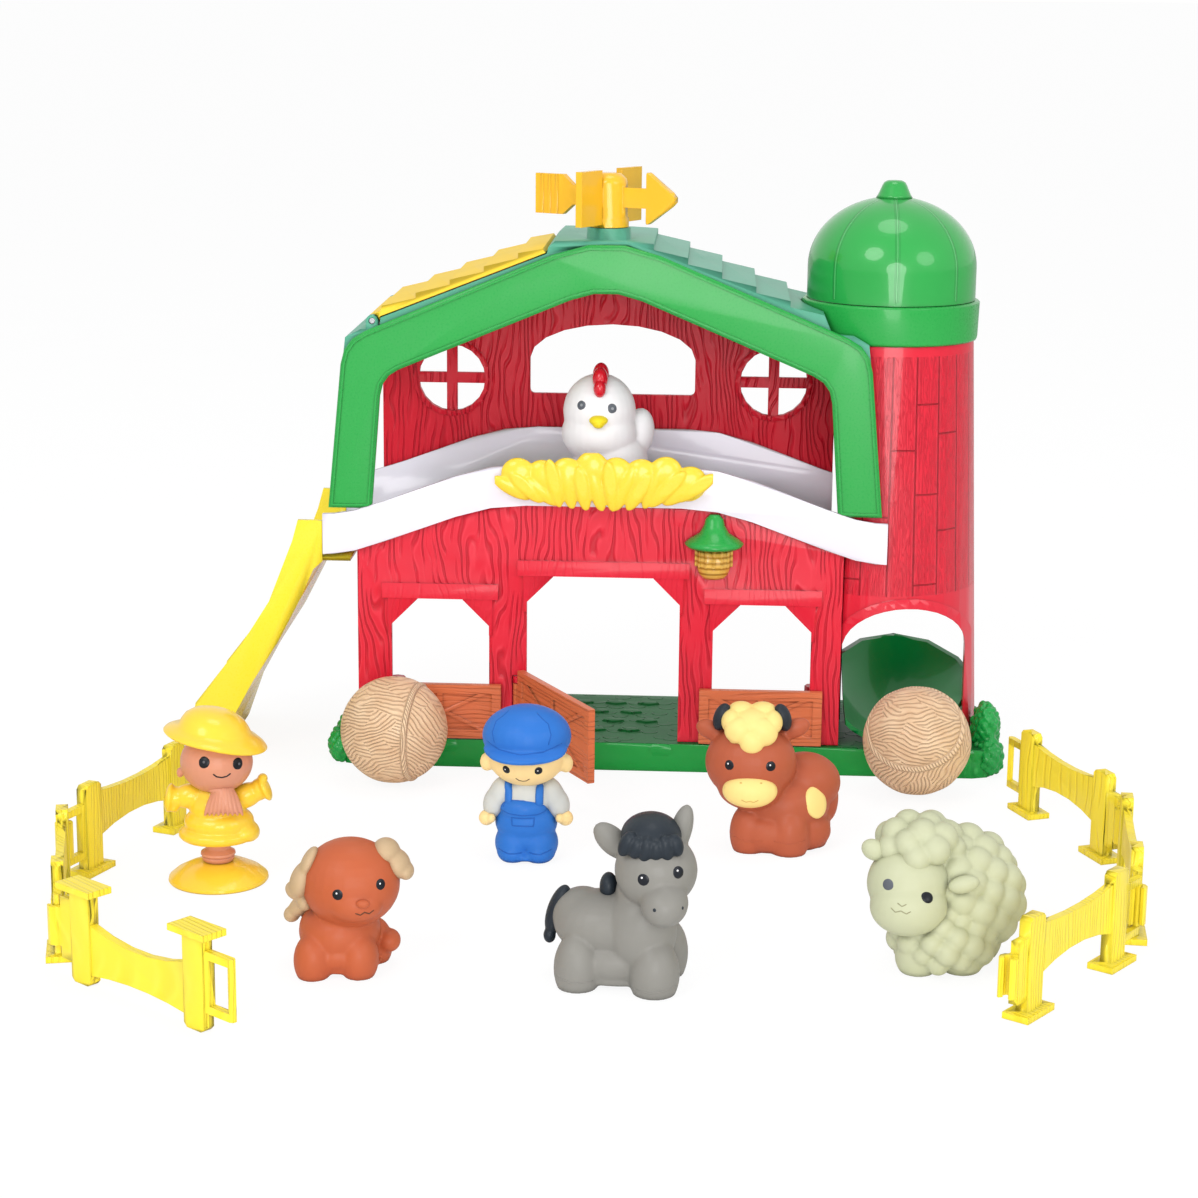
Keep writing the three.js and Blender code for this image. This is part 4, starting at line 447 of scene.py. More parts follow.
def threaded(name, slot, middle, radius, seam, offset, inside_ways, outside_ways):
    """Straw wound round a ball: fine threads, one way within the roped ring and others outside it, with
    painted shade in the grooves and painted highlight on the rope.
    """
    straw, thread_groove_shade, worn_straw_and_rope_highlight = rgb(224, 186, 148), rgb(166, 118, 84), rgb(238, 206, 170)
    thread_pitch, twist_pitch = 1.55, 2.4
    finish = moulded(name, slot, straw, roughness=0.5, coat=0.05, mottle=0.3)
    here = finish.place(middle, 1000.0 / radius)

    def dot(way):
        return finish.node("ShaderNodeVectorMath", {"operation": "DOT_PRODUCT"},
                           {0: here, 1: tuple(way)}, "Value")

    def threads(way, seed):
        """0 in the gaps between threads that run across a direction, 1 midway between gaps."""
        moved = finish.node("ShaderNodeVectorMath", {"operation": "ADD"}, {0: here, 1: (seed, 0.0, 0.0)})
        wave = (dot(way) * radius / thread_pitch + finish.noise(moved, 1.5, 2.0) * 4.5).math("FRACT")
        return abs(wave - 0.5) * 2

    ring = dot(seam) - offset
    patch = finish.noise(here, 2.2, 0.0).over(0.5, 0.03)
    inner = threads(inside_ways[0], 3.0) * patch + threads(inside_ways[1], 7.0) * (1 - patch)
    outer = threads(outside_ways[0], 11.0) * patch + threads(outside_ways[1], 17.0) * (1 - patch)
    within = ring.over(0.0, 0.01)
    thread = inner * within + outer * (1 - within)
    rope = abs(ring).under(0.04, 0.02)
    tip = seam.orthogonal()
    round_it = dot(tip) + dot(tip.cross(seam))
    twist = abs((round_it * radius / twist_pitch + ring * 9.0).math("FRACT") - 0.5) * 2
    line = thread.under(0.22, 0.5) * (1 - rope) + twist.under(0.25, 0.4) * rope
    worn = finish.noise(here, 3.0, 3.0).over(0.5, 0.4)
    # Painted shade in lines beside the rope
    line = line.most(abs(abs(ring) - 0.055).under(0.01, 0.014) * 0.6)
    # Lighter straw in random worn patches, and as painted highlight on the rope
    plain = finish.mix(worn * (1 - rope) + rope, straw, worn_straw_and_rope_highlight)
    # Painted shade in the grooves between threads and along the rope's twists
    finish.feed("Base Color", finish.mix(line * 0.36, plain, thread_groove_shade))
    finish.relief(finish.skin - line * 0.5 + rope * 0.5)
    return finish


def paint(name, slot, colour, roughness=0.5, coat=0.04):
    """Soft vinyl of the figures, with a slight powdery skin."""
    return moulded(name, slot, colour, roughness=roughness, coat=coat, mottle=0.35, edge=0.0)


# Finishes of the barn and what stands round it

# A darker red for painted shade in grooves, and a lighter red for painted highlight on ridges and board edges
red, dark_red, highlight_red = rgb(226, 32, 56), rgb(178, 12, 34), rgb(240, 66, 84)
green = rgb(40, 166, 72)
lemon = rgb(255, 232, 56)

barn_red = carved("barn_red", "red", red, dark_red, highlight_red, smooth_front=-38.0)
# Its darker and lighter reds are painted shade in the grooves and painted highlight on the ridges
back_red = carved("back_red", "red", rgb(216, 22, 46), rgb(170, 8, 28), rgb(232, 50, 70), pitch=2.8, coat=0.0,
                  strength=0.5)
silo_red = planked("silo_red", "red", red, dark_red, highlight_red)
plain_red = moulded("plain_red", "red", red)
leaf_green = moulded("leaf_green", "green", green, coat=0.2, edge=0.9)
# The darker and lighter greens are painted shade beside the dome's seams and painted highlight on them
dome_green = domed("dome_green", "green", green, rgb(0, 90, 36), rgb(120, 220, 140))
# The deeper green is also painted shade on the base's top; the lighter one is painted highlight on its leaves
base_green = turfed("base_green", "green", rgb(0, 166, 62), rgb(0, 104, 42), rgb(70, 190, 96))
bush_green = moulded("bush_green", "green", rgb(20, 160, 70), roughness=0.3, coat=0.3)
chute_green = moulded("chute_green", "deep_green", rgb(0, 136, 60), roughness=0.32, coat=0.3)
tray_white = moulded("tray_white", "white", rgb(240, 237, 248), rgb(226, 220, 240), roughness=0.25)
hay_yellow = moulded("hay_yellow", "maize", rgb(254, 218, 62))
hatch_yellow = moulded("hatch_yellow", "maize", rgb(255, 216, 60), roughness=0.5, coat=0.0)
roof_green = moulded("roof_green", "green", rgb(88, 170, 142), roughness=0.45, coat=0.1)
vane_yellow = moulded("vane_yellow", "maize", rgb(250, 192, 44), roughness=0.22)
slide_lemon = moulded("slide_lemon", "lemon", lemon)
# Its darker and lighter yellows are painted shade in the grooves and painted highlight on the ridges
fence_lemon = carved("fence_lemon", "lemon", lemon, rgb(238, 206, 22), rgb(255, 240, 90), pitch=2.6,
                     depth=0.2, flame=5.0, strength=0.3)
# Its darker and lighter browns are painted shade in grooves and painted highlight on ridges; its crevices get
# stronger painted shade
gate_wood = carved("gate_wood", "wood_brown", rgb(222, 118, 74), rgb(180, 88, 52), rgb(238, 142, 98),
                   pitch=2.1, depth=0.3, flame=5.0, upright=False, roughness=0.45, strength=0.3,
                   crevice_shade=(1.6, 0.95))
# The lighter amber is painted highlight on the glass's rings
lamp_amber = ringed("lamp_amber", "amber", rgb(206, 148, 46), rgb(232, 184, 84), 2.6)
pin_steel = moulded("pin_steel", "steel", rgb(180, 180, 184), roughness=0.25, coat=0.0)
pin_steel.feed("Metallic", 1.0)


# Finishes of the figures

farmer_blue = rgb(44, 116, 205)
overall_cloth = paint("overall_blue", "blue", farmer_blue)
cap_blue = paint("cap_blue", "blue", farmer_blue)
seam_blue = paint("seam_blue", "blue", rgb(32, 98, 186))
shirt_grey = paint("shirt_grey", "white", rgb(206, 208, 204))
skin_tan = paint("skin_tan", "maize", rgb(255, 222, 156))
calf_brown = paint("calf_brown", "brown", rgb(182, 92, 62))
calf_cream = paint("calf_cream", "maize", rgb(253, 224, 140))
horn_black = paint("horn_black", "steel", rgb(34, 40, 48))
puppy_brown = paint("puppy_brown", "terracotta", rgb(188, 94, 58))
ear_beige = paint("ear_beige", "wool", rgb(196, 168, 132))
donkey_grey = paint("donkey_grey", "grey", rgb(138, 136, 130))
mane_black = paint("mane_black", "steel", rgb(34, 42, 50))
wool_cream = paint("wool_cream", "wool", rgb(194, 197, 164))
wool_shade = paint("wool_shade", "wool", rgb(150, 148, 116))
hen_white = paint("hen_white_vinyl", "hen_white", rgb(246, 244, 246))
comb_red = paint("comb_red", "red", rgb(214, 24, 44), roughness=0.2, coat=0.5)
beak_yellow = paint("beak_yellow", "lemon", rgb(250, 226, 40))
mouth_brown = paint("mouth_brown", "brown", rgb(96, 56, 36))
nostril_tan = paint("nostril_tan", "maize", rgb(214, 176, 96))
pupil_grey = paint("pupil_grey", "grey", rgb(150, 154, 160))
straw_skin = paint("straw_skin", "terracotta", rgb(218, 150, 122), roughness=0.36)
hat_yellow = moulded("hat_yellow", "maize", rgb(255, 214, 60), rgb(250, 190, 50), roughness=0.3)
black_eye = paint("eye_black", "steel", rgb(20, 24, 32), roughness=0.3)
grey_eye = paint("eye_grey", "grey", rgb(92, 96, 104), roughness=0.3)


# Shapes

def mesh_from(bm, name):
    """A new mesh from a bmesh, which is freed."""
    mesh = bpy.data.meshes.new(name)
    bm.to_mesh(mesh)
    bm.free()
    return mesh


def welded(node):
    """A bmesh of a node's own form, its doubled corners joined."""
    bm = bmesh.new()
    bm.from_mesh(nodes[node].data)
    bmesh.ops.remove_doubles(bm, verts=bm.verts, dist=0.02 * mm)
    return bm


def add_piece(name, mesh, finish, body, *replaced):
    """A visual piece in the CAD's frame: its finish, its body and the nodes it stands for."""
    made = bpy.data.objects.new(name, mesh)
    scene.collection.objects.link(made)
    mesh.materials.clear()
    mesh.materials.append(finish.material)
    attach(made, body)
    if replaced:
        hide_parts(*replaced)


def smooth(mesh, angle=None):
    """Smooth shading, kept sharp where faces meet by more than an angle in degrees."""
    mesh.polygons.foreach_set("use_smooth", [True] * len(mesh.polygons))
    if angle is not None:
        mesh.set_sharp_from_angle(angle=math.radians(angle))


def apply_modifiers(mesh, modifiers):
    """The mesh with modifiers, given as (kind, settings), worked into it."""
    holder = bpy.data.objects.new("holder", mesh)
    scene.collection.objects.link(holder)
    for kind, settings in modifiers:
        modifier = holder.modifiers.new(kind.lower(), kind)
        for key, setting in settings.items():
            setattr(modifier, key, setting)
    seen = holder.evaluated_get(bpy.context.evaluated_depsgraph_get())
    worked = bpy.data.meshes.new_from_object(seen)
    bpy.data.objects.remove(holder)
    return worked


def edged(node, finish, body, angle):
    """A node's own form, with its curved faces shaded as one and its flat ones flat."""
    mesh = mesh_from(welded(node), node)
    smooth(mesh, angle)
    mesh = apply_modifiers(mesh, [("WEIGHTED_NORMAL", {"keep_sharp": True})])
    add_piece(node + "_shell", mesh, finish, body, node)


def on_circle(i, sides):
    """The cosine and sine of the corner i of a round with so many sides."""
    return math.cos(2 * math.pi * i / sides), math.sin(2 * math.pi * i / sides)


def ball_form(sides=28, rows=16):
    """Corners and faces of a round form of radius 1."""
    corners = [(0.0, 0.0, -1.0)]
    for row in range(1, rows):
        wide, high = math.sin(math.pi * row / rows), -math.cos(math.pi * row / rows)
        ring = [on_circle(i, sides) for i in range(sides)]
        corners += [(wide * x, wide * y, high) for x, y in ring]
    corners.append((0.0, 0.0, 1.0))
    faces = [(0, 1 + (i + 1) % sides, 1 + i) for i in range(sides)]
    for row in range(rows - 2):
        low, high = 1 + row * sides, 1 + (row + 1) * sides
        faces += [(low + i, low + (i + 1) % sides, high + (i + 1) % sides, high + i) for i in range(sides)]
    last = len(corners) - 1
    faces += [(last, last - sides + i, last - sides + (i + 1) % sides) for i in range(sides)]
    return np.array(corners), faces


def egg_heap(eggs, high):
    """One mesh of egg shapes: centre and radii in shares of a height, and some with a tilt in degrees."""
    corners, faces = ball_form()
    heap_corners, heap_faces = [], []
    for cx, cy, cz, rx, ry, rz, *tilt in eggs:
        angles = tilt[0] if tilt else (0, 0, 0)
        turn = np.array(Euler([math.radians(angle) for angle in angles]).to_matrix())
        first = len(heap_corners) * len(corners)
        heap_faces += [tuple(first + corner for corner in face) for face in faces]
        heap_corners.append((corners * (rx, ry, rz) @ turn.T + (cx, cy, cz)) * high * mm)
    mesh = bpy.data.meshes.new("heap")
    mesh.from_pydata(np.concatenate(heap_corners).tolist(), [], heap_faces)
    return mesh


def lump(eggs, high, stand=Matrix(), voxel=0.7, rounds=6, foot=0.0):
    """Egg shapes run into one smooth body, put on its stand and cut flat at its foot."""
    coarse = 1.0
    steps = [("REMESH", {"mode": "VOXEL", "voxel_size": voxel * coarse * mm})]
    if rounds:
        steps.append(("SMOOTH", {"factor": 0.5, "iterations": rounds}))
    mesh = apply_modifiers(egg_heap(eggs, high), steps)
    mesh.transform(stand)
    floor = foot * high * mm + stand.translation.z
    for corner in mesh.vertices:
        corner.co.z = max(corner.co.z, floor)
    smooth(mesh)
    return mesh


def lathe(profile, sides):
    """A profile of (radius, height) in millimetres, turned round the upright line through the origin."""
    bm = bmesh.new()
    rings = []
    for radius, z in profile:
        if radius <= 0:
            rings.append([bm.verts.new((0, 0, z * mm))])
        else:
            circle = [on_circle(i, sides) for i in range(sides)]
            rings.append([bm.verts.new((radius * x * mm, radius * y * mm, z * mm)) for x, y in circle])
    for low, high in zip(rings, rings[1:]):
        for i in range(sides):
            after = i + 1
            corners = [low[i % len(low)], low[after % len(low)], high[after % len(high)], high[i % len(high)]]
            corners = list(dict.fromkeys(corners))
            if len(corners) > 2:
                bm.faces.new(corners)
    bmesh.ops.recalc_face_normals(bm, faces=bm.faces)
    mesh = mesh_from(bm, "lathe")
    smooth(mesh, 38)
    return mesh


# Ball-shaped bales

def straw_ball(name, node, body, finish, seam, offset):
    """A ball-shaped bale with a slightly raised rope round it and a faint ripple."""
    rope_reach, rope_high, sunk = 0.055, 0.6, 0.8
    low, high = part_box(node)
    middle = (low + high) / 2
    radius = (high.z - low.z) / 2
    bm = bmesh.new()
    bmesh.ops.create_icosphere(bm, subdivisions=6, radius=1)
    for corner in bm.verts:
        way = corner.co.normalized()
        rope = max(0.0, 1 - abs(way.dot(seam) - offset) / rope_reach)
        ripple = 0.12 * math.sin(9 * way.x + 5 * way.z) * math.sin(8 * way.y - 4 * way.x)
        raised = rope_high * math.sin(rope * math.pi / 2) + ripple
        corner.co = middle + way * (radius - sunk * mm + raised * mm)
        corner.co.z = max(corner.co.z, low.z)
    mesh = mesh_from(bm, name)
    smooth(mesh)
    add_piece(name, mesh, finish, body, node)


def make_bales():
    """Threads and seams follow directions seen from the camera: right, up and towards it."""
    right, up, near = Vector((1, 0.05, 0.01)), Vector((-0.02, 0.23, 0.97)), Vector((0.04, -0.97, 0.23))
    seams = {"left": (right * 0.975 - up * 0.092 + near * 0.202, 0.43),
             "right": (near * 0.817 + up * 0.553 - right * 0.166, 0.465)}
    inside = {"left": (right * 0.75 + up * 0.65, right * 0.5 + up * 0.85),
              "right": (up * 0.95 - right * 0.2, up * 0.9 + right * 0.3)}
    outside = {"left": (up * 0.98 + right * 0.15, up * 0.9 - right * 0.35),
               "right": (right * 0.95 + up * 0.2, right * 0.8 - up * 0.5)}
    for side, (seam, offset) in seams.items():
        node = f"hay_ball_{side}"
        seam = seam.normalized()
        low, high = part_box(node)
        middle, radius = (low + high) / 2 / mm, (high.z - low.z) / 2 / mm
        finish = threaded(f"straw_{side}", "hay_tan", middle, radius, seam, offset, inside[side],
                          outside[side])
        straw_ball(f"bale_{side}", node, f"ball_{side}", finish, seam, offset)


# Barn trim

def make_dome(finish):
    """The silo's dome and its knob as a smooth round, with the hinge knuckle of the CAD form."""
    box_low, box_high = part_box("silo_dome")
    middle = silo_middle()
    wall, steps, inner_steps = 2.4, 20, 10
    radius = middle.y - box_low.y / mm
    top = box_high.z / mm - 7.0
    spring, foot = top - 30.0, top - 43.5
    knob = [(7.9, -0.6), (7.2, 0.6), (6.5, 2.0), (5.4, 4.6), (4.6, 6.0), (3.2, 6.8), (0, 7.0)]
    profile = [(radius, foot)]
    for i in range(steps - 1):
        turn = math.pi / 2 * i / steps
        profile.append((radius * math.cos(turn), spring + (top - spring) * math.sin(turn)))
    profile += [(wide, top + above) for wide, above in knob]
    profile.append((0, top - wall))
    for i in range(1, inner_steps + 1):
        turn = math.pi / 2 * i / inner_steps
        profile.append(((radius - wall) * math.sin(turn), spring + (top - wall - spring) * math.cos(turn)))
    profile += [(radius - wall, foot), (radius, foot)]
    round_part = lathe(profile, sides=192)
    round_part.transform(Matrix.Translation(middle * mm))

    bm = welded("silo_dome")
    knuckle_front = (middle.y + radius - 0.3) * mm
    in_round = [face for face in bm.faces if face.calc_center_median().y < knuckle_front
                or face.calc_center_median().z > spring * mm]
    bmesh.ops.delete(bm, geom=in_round, context="FACES")
    bm.from_mesh(round_part)
    whole = mesh_from(bm, "dome")
    smooth(whole, 40)
    add_piece("silo_dome_shell", whole, finish, "dome", "silo_dome")


def make_bushes(finish):
    """Leafy heaps over the bushes at the base's ends: centre, then radii, in millimetres."""
    chance = random.Random(9)
    leaves, turn_each = 70, 2.4
    wall_end, wall_front = -113.5, -38
    heaps_at = {"right": ((169.7, -30.9, 7.8, 5.4, 8.6, 8.0), (168.4, -20.5, 14.0, 5.4, 9.3, 14.2),
                          (168.8, -26.0, 20.0, 4.6, 7.5, 8.5)),
                "left": ((-115.0, -29.6, 6.5, 5.4, 9.9, 6.8), (-115.0, -11.4, 6.5, 4.8, 10.6, 7.4))}
    for side, heaps in heaps_at.items():
        eggs = list(heaps)
        for x, y, z, wide, long, tall in heaps:
            for i in range(leaves):
                high = 1 - 2 * (i + 0.5) / leaves
                flat = math.sqrt(1 - high * high)
                spot = (x + wide * flat * math.cos(i * turn_each), y + long * flat * math.sin(i * turn_each),
                        z + tall * high)
                size = (chance.uniform(1.3, 1.9), chance.uniform(1.3, 1.9), chance.uniform(1.8, 2.6))
                lean = (chance.uniform(-40, 40), chance.uniform(-40, 40), 0)
                clear = side == "right" or spot[0] < wall_end or spot[1] < wall_front
                if spot[2] > 1 and clear:
                    eggs.append((*spot, *size, lean))
        mesh = lump(eggs, 1.0, voxel=0.55, rounds=1)
        add_piece(f"bush_leaves_{side}", mesh, finish, "playset")


def make_lip(node, finish, wide=1.1, high=0.5):
    """A low raised rim round a node's front face."""
    bm = welded(node)
    front = min(corner.co.y for corner in bm.verts) + 0.3 * mm
    kept = [face for face in bm.faces if face.normal.y < -0.99 and face.calc_center_median().y < front]
    others = [face for face in bm.faces if face not in kept]
    bmesh.ops.delete(bm, geom=others, context="FACES")
    inset = bmesh.ops.inset_region(bm, faces=kept, thickness=wide * mm, use_even_offset=True,
                                   use_boundary=True)
    bmesh.ops.delete(bm, geom=kept, context="FACES")
    raised = bmesh.ops.extrude_face_region(bm, geom=inset["faces"], use_keep_orig=True)
    for part in raised["geom"]:
        if isinstance(part, bmesh.types.BMVert):
            part.co.y -= high * mm
    bmesh.ops.recalc_face_normals(bm, faces=bm.faces)
    add_piece(f"{node}_lip", mesh_from(bm, f"{node}_lip"), finish, "playset")


def make_hay(finish):
    """Straw that hangs over the front rail: fat tufts behind, pointed leaves in front."""
    low, high = (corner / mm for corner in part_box("hay_trim"))
    middle, reach = (low.x + high.x) / 2, (high.x - low.x) / 2
    tall = high.z - low.z
    tufts, leaves = 8, 14
    chance = random.Random(4)
    eggs = []
    for i in range(tufts):
        share = i / ((tufts - 1) / 2) - 1
        raised = 0.66 + 0.06 * math.cos(i * 2.1) - 0.12 * share * share
        eggs.append((middle + share * reach * 0.78, low.y + 3.4, low.z + tall * raised,
                     reach * 0.16, 3.0, tall * 0.31, (0, share * 50, 0)))
    for i in range(leaves):
        share = i / ((leaves - 1) / 2) - 1
        tilt = share * 52 + chance.uniform(-18, 18)
        along = tall * chance.uniform(0.36, 0.44)
        drop = math.cos(math.radians(tilt)) * along
        eggs.append((middle + share * reach * 0.84, low.y + 2.3 - 0.7 * (i % 2),
                     low.z + drop + 0.5 + tall * 0.2 * share * share, 3.4, 2.0, along, (4, tilt, 0)))
    eggs.append((middle, low.y + 4.2, low.z + tall * 0.5, reach * 0.7, 1.2, tall * 0.3))
    mesh = lump(eggs, 1.0, voxel=0.45, rounds=0, foot=low.z)
    for corner in mesh.vertices:
        for axis in range(3):
            corner.co[axis] = min(max(corner.co[axis], low[axis] * mm), high[axis] * mm)
    add_piece("hay_leaves", mesh, finish, "playset", "hay_trim")


# Figures

class Figure:
    """A figure in shares of its height, from the middle of its stand.

    The height and the place of the stand are in millimetres, and the turn about Z is in degrees.
    """

    def __init__(self, body, high, place, turn=0):
        self.body = body
        self.high = high
        self.place = Vector(place) * mm
        self.stand = Matrix.Translation(self.place) @ turned_by(turn, "Z")
        self.turn = Matrix.Rotation(math.radians(turn), 3, "Z")
        self.ahead = (self.turn @ Vector((0, 1, 0))).normalized()

    def dress(self, name, mesh, finish, replaced):
        """Adds a piece. The dots and lines made after it lie on its skin."""
        add_piece(name, mesh, finish, self.body, *replaced)
        self.skin = BVHTree.FromPolygons([corner.co for corner in mesh.vertices],
                                         [face.vertices for face in mesh.polygons])

    def part(self, name, eggs, finish, voxel=0.7, rounds=6, replaced=(), foot=0.0):
        """A lump of egg shapes."""
        self.dress(name, lump(eggs, self.high, self.stand, voxel, rounds, foot), finish, replaced)

    def turned(self, name, profile, finish, replaced, droop=None):
        """A lathed part, from (radius, height)."""
        mesh = lathe([(radius * self.high, z * self.high) for radius, z in profile], sides=72)
        if droop is not None:
            for corner in mesh.vertices:
                x, y, z = (part / (self.high * mm) for part in corner.co)
                corner.co = Vector(droop(x, y, z)) * self.high * mm
        mesh.transform(self.stand)
        self.dress(name, mesh, finish, replaced)

    def meet(self, x, z):
        """Where the skin is met from the front at x and z, and which way it faces there."""
        spot = self.turn @ (Vector((x, 0, z)) * self.high * mm) + self.place
        return self.skin.ray_cast(spot - self.ahead * self.high * 2 * mm, self.ahead)[:2]

    def dot(self, name, x, z, radius, finish, tall=1.0, proud=0.22, deep=0.6):
        """A shallow painted dome on the skin. It stands proud by a part of its depth, in millimetres."""
        spot, normal = self.meet(x, z)
        bm = bmesh.new()
        bmesh.ops.create_uvsphere(bm, u_segments=24, v_segments=12, radius=1)
        side = Vector((0, 0, 1)).cross(normal).normalized()
        turn = Matrix((side, normal.cross(side), normal)).transposed().to_4x4()
        size = Matrix.Diagonal((radius * self.high * mm, radius * tall * self.high * mm, deep * mm, 1))
        bm.transform(Matrix.Translation(spot - normal * (deep - proud) * mm) @ turn @ size)
        mesh = mesh_from(bm, name)
        smooth(mesh)
        add_piece(name, mesh, finish, self.body)

    def eyes(self, name, spots, radius, eye, glint_radius, glint, aside, above):
        """Two round eyes, each with a small glint beside its middle."""
        for side, (x, z) in zip(("left", "right"), spots):
            self.dot(f"{name}_eye_{side}", x, z, radius, eye)
            self.dot(f"{name}_eye_light_{side}", x + aside, z + above, glint_radius, glint, proud=0.29,
                     deep=0.12)

    def line(self, name, points, width, finish, lift=0.02):
        """A fine raised line that follows the skin through points given from the front."""
        sides, between, end_width = 8, 6, 0.55
        spots = []
        for (x0, z0), (x1, z1) in zip(points, points[1:]):
            for i in range(between):
                share = i / between
                spots.append((x0 + (x1 - x0) * share, z0 + (z1 - z0) * share))
        spots.append(points[-1])
        course = [met for met in (self.meet(x, z) for x, z in spots) if met[0] is not None]
        bm = bmesh.new()
        rings = []
        for i, (spot, normal) in enumerate(course):
            along = course[min(i + 1, len(course) - 1)][0] - course[max(i - 1, 0)][0]
            side = along.cross(normal).normalized()
            thick = width * mm / 2 * (end_width if i in (0, len(course) - 1) else 1.0)
            circle = [on_circle(k, sides) for k in range(sides)]
            rings.append([bm.verts.new(spot + (side * x + normal * y * 0.5) * thick + normal * lift * mm)
                          for x, y in circle])
        for low, high in zip(rings, rings[1:]):
            for k in range(sides):
                bm.faces.new((low[k], low[(k + 1) % sides], high[(k + 1) % sides], high[k]))
        bm.faces.new(rings[0][::-1])
        bm.faces.new(rings[-1])
        bmesh.ops.recalc_face_normals(bm, faces=bm.faces)
        mesh = mesh_from(bm, name)
        smooth(mesh)
        add_piece(name, mesh, finish, self.body)


def make_farmer():
    """Bib trousers with their seams, a shirt under its straps, hands, a cap and a face."""
    farmer = Figure("farmer_part", 62, (-24, -160, 0))
    farmer.part("farmer_trousers", [
        # Legs, hips, bib, shoes, and what fills between them
        [-0.075, 0, 0.10, 0.125, 0.15, 0.13], [0.08, 0, 0.10, 0.125, 0.15, 0.13],
        [0, 0, 0.24, 0.2, 0.15, 0.15], [-0.015, -0.045, 0.34, 0.15, 0.105, 0.09],
        [-0.08, -0.03, 0.05, 0.105, 0.14, 0.075], [0.085, -0.03, 0.05, 0.105, 0.14, 0.075],
        [0, 0, 0.14, 0.13, 0.14, 0.1], [0, -0.02, 0.035, 0.15, 0.14, 0.04],
    ], overall_cloth, replaced=["farmer"])
    farmer.line("farmer_hem", [(-0.17, 0.085), (-0.1, 0.07), (-0.02, 0.072)], 0.5, seam_blue)
    farmer.line("farmer_hem_right", [(0.03, 0.075), (0.1, 0.07), (0.17, 0.09)], 0.5, seam_blue)
    pocket = [(-0.085, 0.30), (-0.08, 0.25), (0.055, 0.25), (0.06, 0.30), (-0.085, 0.30)]
    farmer.line("farmer_pocket", pocket, 0.55, seam_blue)
    bib_edge = [(-0.14, 0.36), (-0.125, 0.405), (0.1, 0.41), (0.125, 0.365)]
    farmer.line("farmer_bib_edge", bib_edge, 0.6, seam_blue)
    belt = [(-0.18, 0.345), (-0.1, 0.325), (-0.02, 0.32), (0.08, 0.322), (0.17, 0.345)]
    farmer.line("farmer_belt", belt, 0.5, seam_blue)
    farmer.part("farmer_shirt", [
        [0, 0.01, 0.40, 0.17, 0.125, 0.13], [0, 0, 0.49, 0.1, 0.1, 0.06],
        [-0.165, 0, 0.42, 0.075, 0.085, 0.12, (0, 22, 0)], [-0.2, 0, 0.36, 0.075, 0.08, 0.105, (0, 14, 0)],
        [0.165, 0, 0.42, 0.075, 0.085, 0.12, (0, -22, 0)], [0.2, 0, 0.36, 0.075, 0.08, 0.105, (0, -14, 0)],
    ], shirt_grey, rounds=4)
    for side, x in (("left", -0.107), ("right", 0.088)):
        strap = [(x, 0.37), (x, 0.43), (x * 1.02, 0.52)]
        farmer.line(f"farmer_strap_{side}", strap, 3.4, overall_cloth, lift=0.1)
    farmer.part("farmer_hands", [
        [-0.25, -0.03, 0.265, 0.05, 0.052, 0.05], [-0.215, -0.07, 0.275, 0.027, 0.03, 0.03],
        [0.25, -0.03, 0.275, 0.05, 0.052, 0.05], [0.215, -0.07, 0.285, 0.027, 0.03, 0.03],
    ], skin_tan, rounds=2, voxel=0.5)
    farmer.part("farmer_cap", [
        [0, 0.01, 0.80, 0.282, 0.25, 0.197], [0, -0.11, 0.745, 0.266, 0.19, 0.042, (14, 0, 0)],
        [-0.03, -0.18, 0.735, 0.205, 0.14, 0.036, (12, 0, 0)],
    ], cap_blue, rounds=3)
    for side, sign in (("left", -1), ("right", 1)):
        cap_seam = ((0.17, 0.80), (0.185, 0.86), (0.165, 0.92), (0.09, 0.975))
        seam = [(sign * out - 0.02, z) for out, z in cap_seam]
        farmer.line(f"farmer_cap_seam_{side}", seam, 0.5, seam_blue)
    peak_seam = [(-0.24, 0.795), (-0.16, 0.765), (-0.02, 0.75), (0.12, 0.76), (0.23, 0.795)]
    farmer.line("farmer_peak_seam", peak_seam, 0.5, seam_blue)
    farmer.part("farmer_head", [
        [0, 0, 0.67, 0.245, 0.215, 0.19], [-0.25, 0, 0.625, 0.045, 0.055, 0.06],
        [0.25, 0, 0.625, 0.045, 0.055, 0.06],
    ], skin_tan, rounds=3)
    farmer.eyes("farmer", ((-0.115, 0.627), (0.088, 0.627)), 0.03, black_eye, 0.005, hen_white,
                -0.004, 0.005)
    smile = [(-0.055, 0.575), (-0.035, 0.558), (-0.012, 0.552), (0.012, 0.556), (0.032, 0.572)]
    farmer.line("farmer_smile", smile, 0.45, mouth_brown)


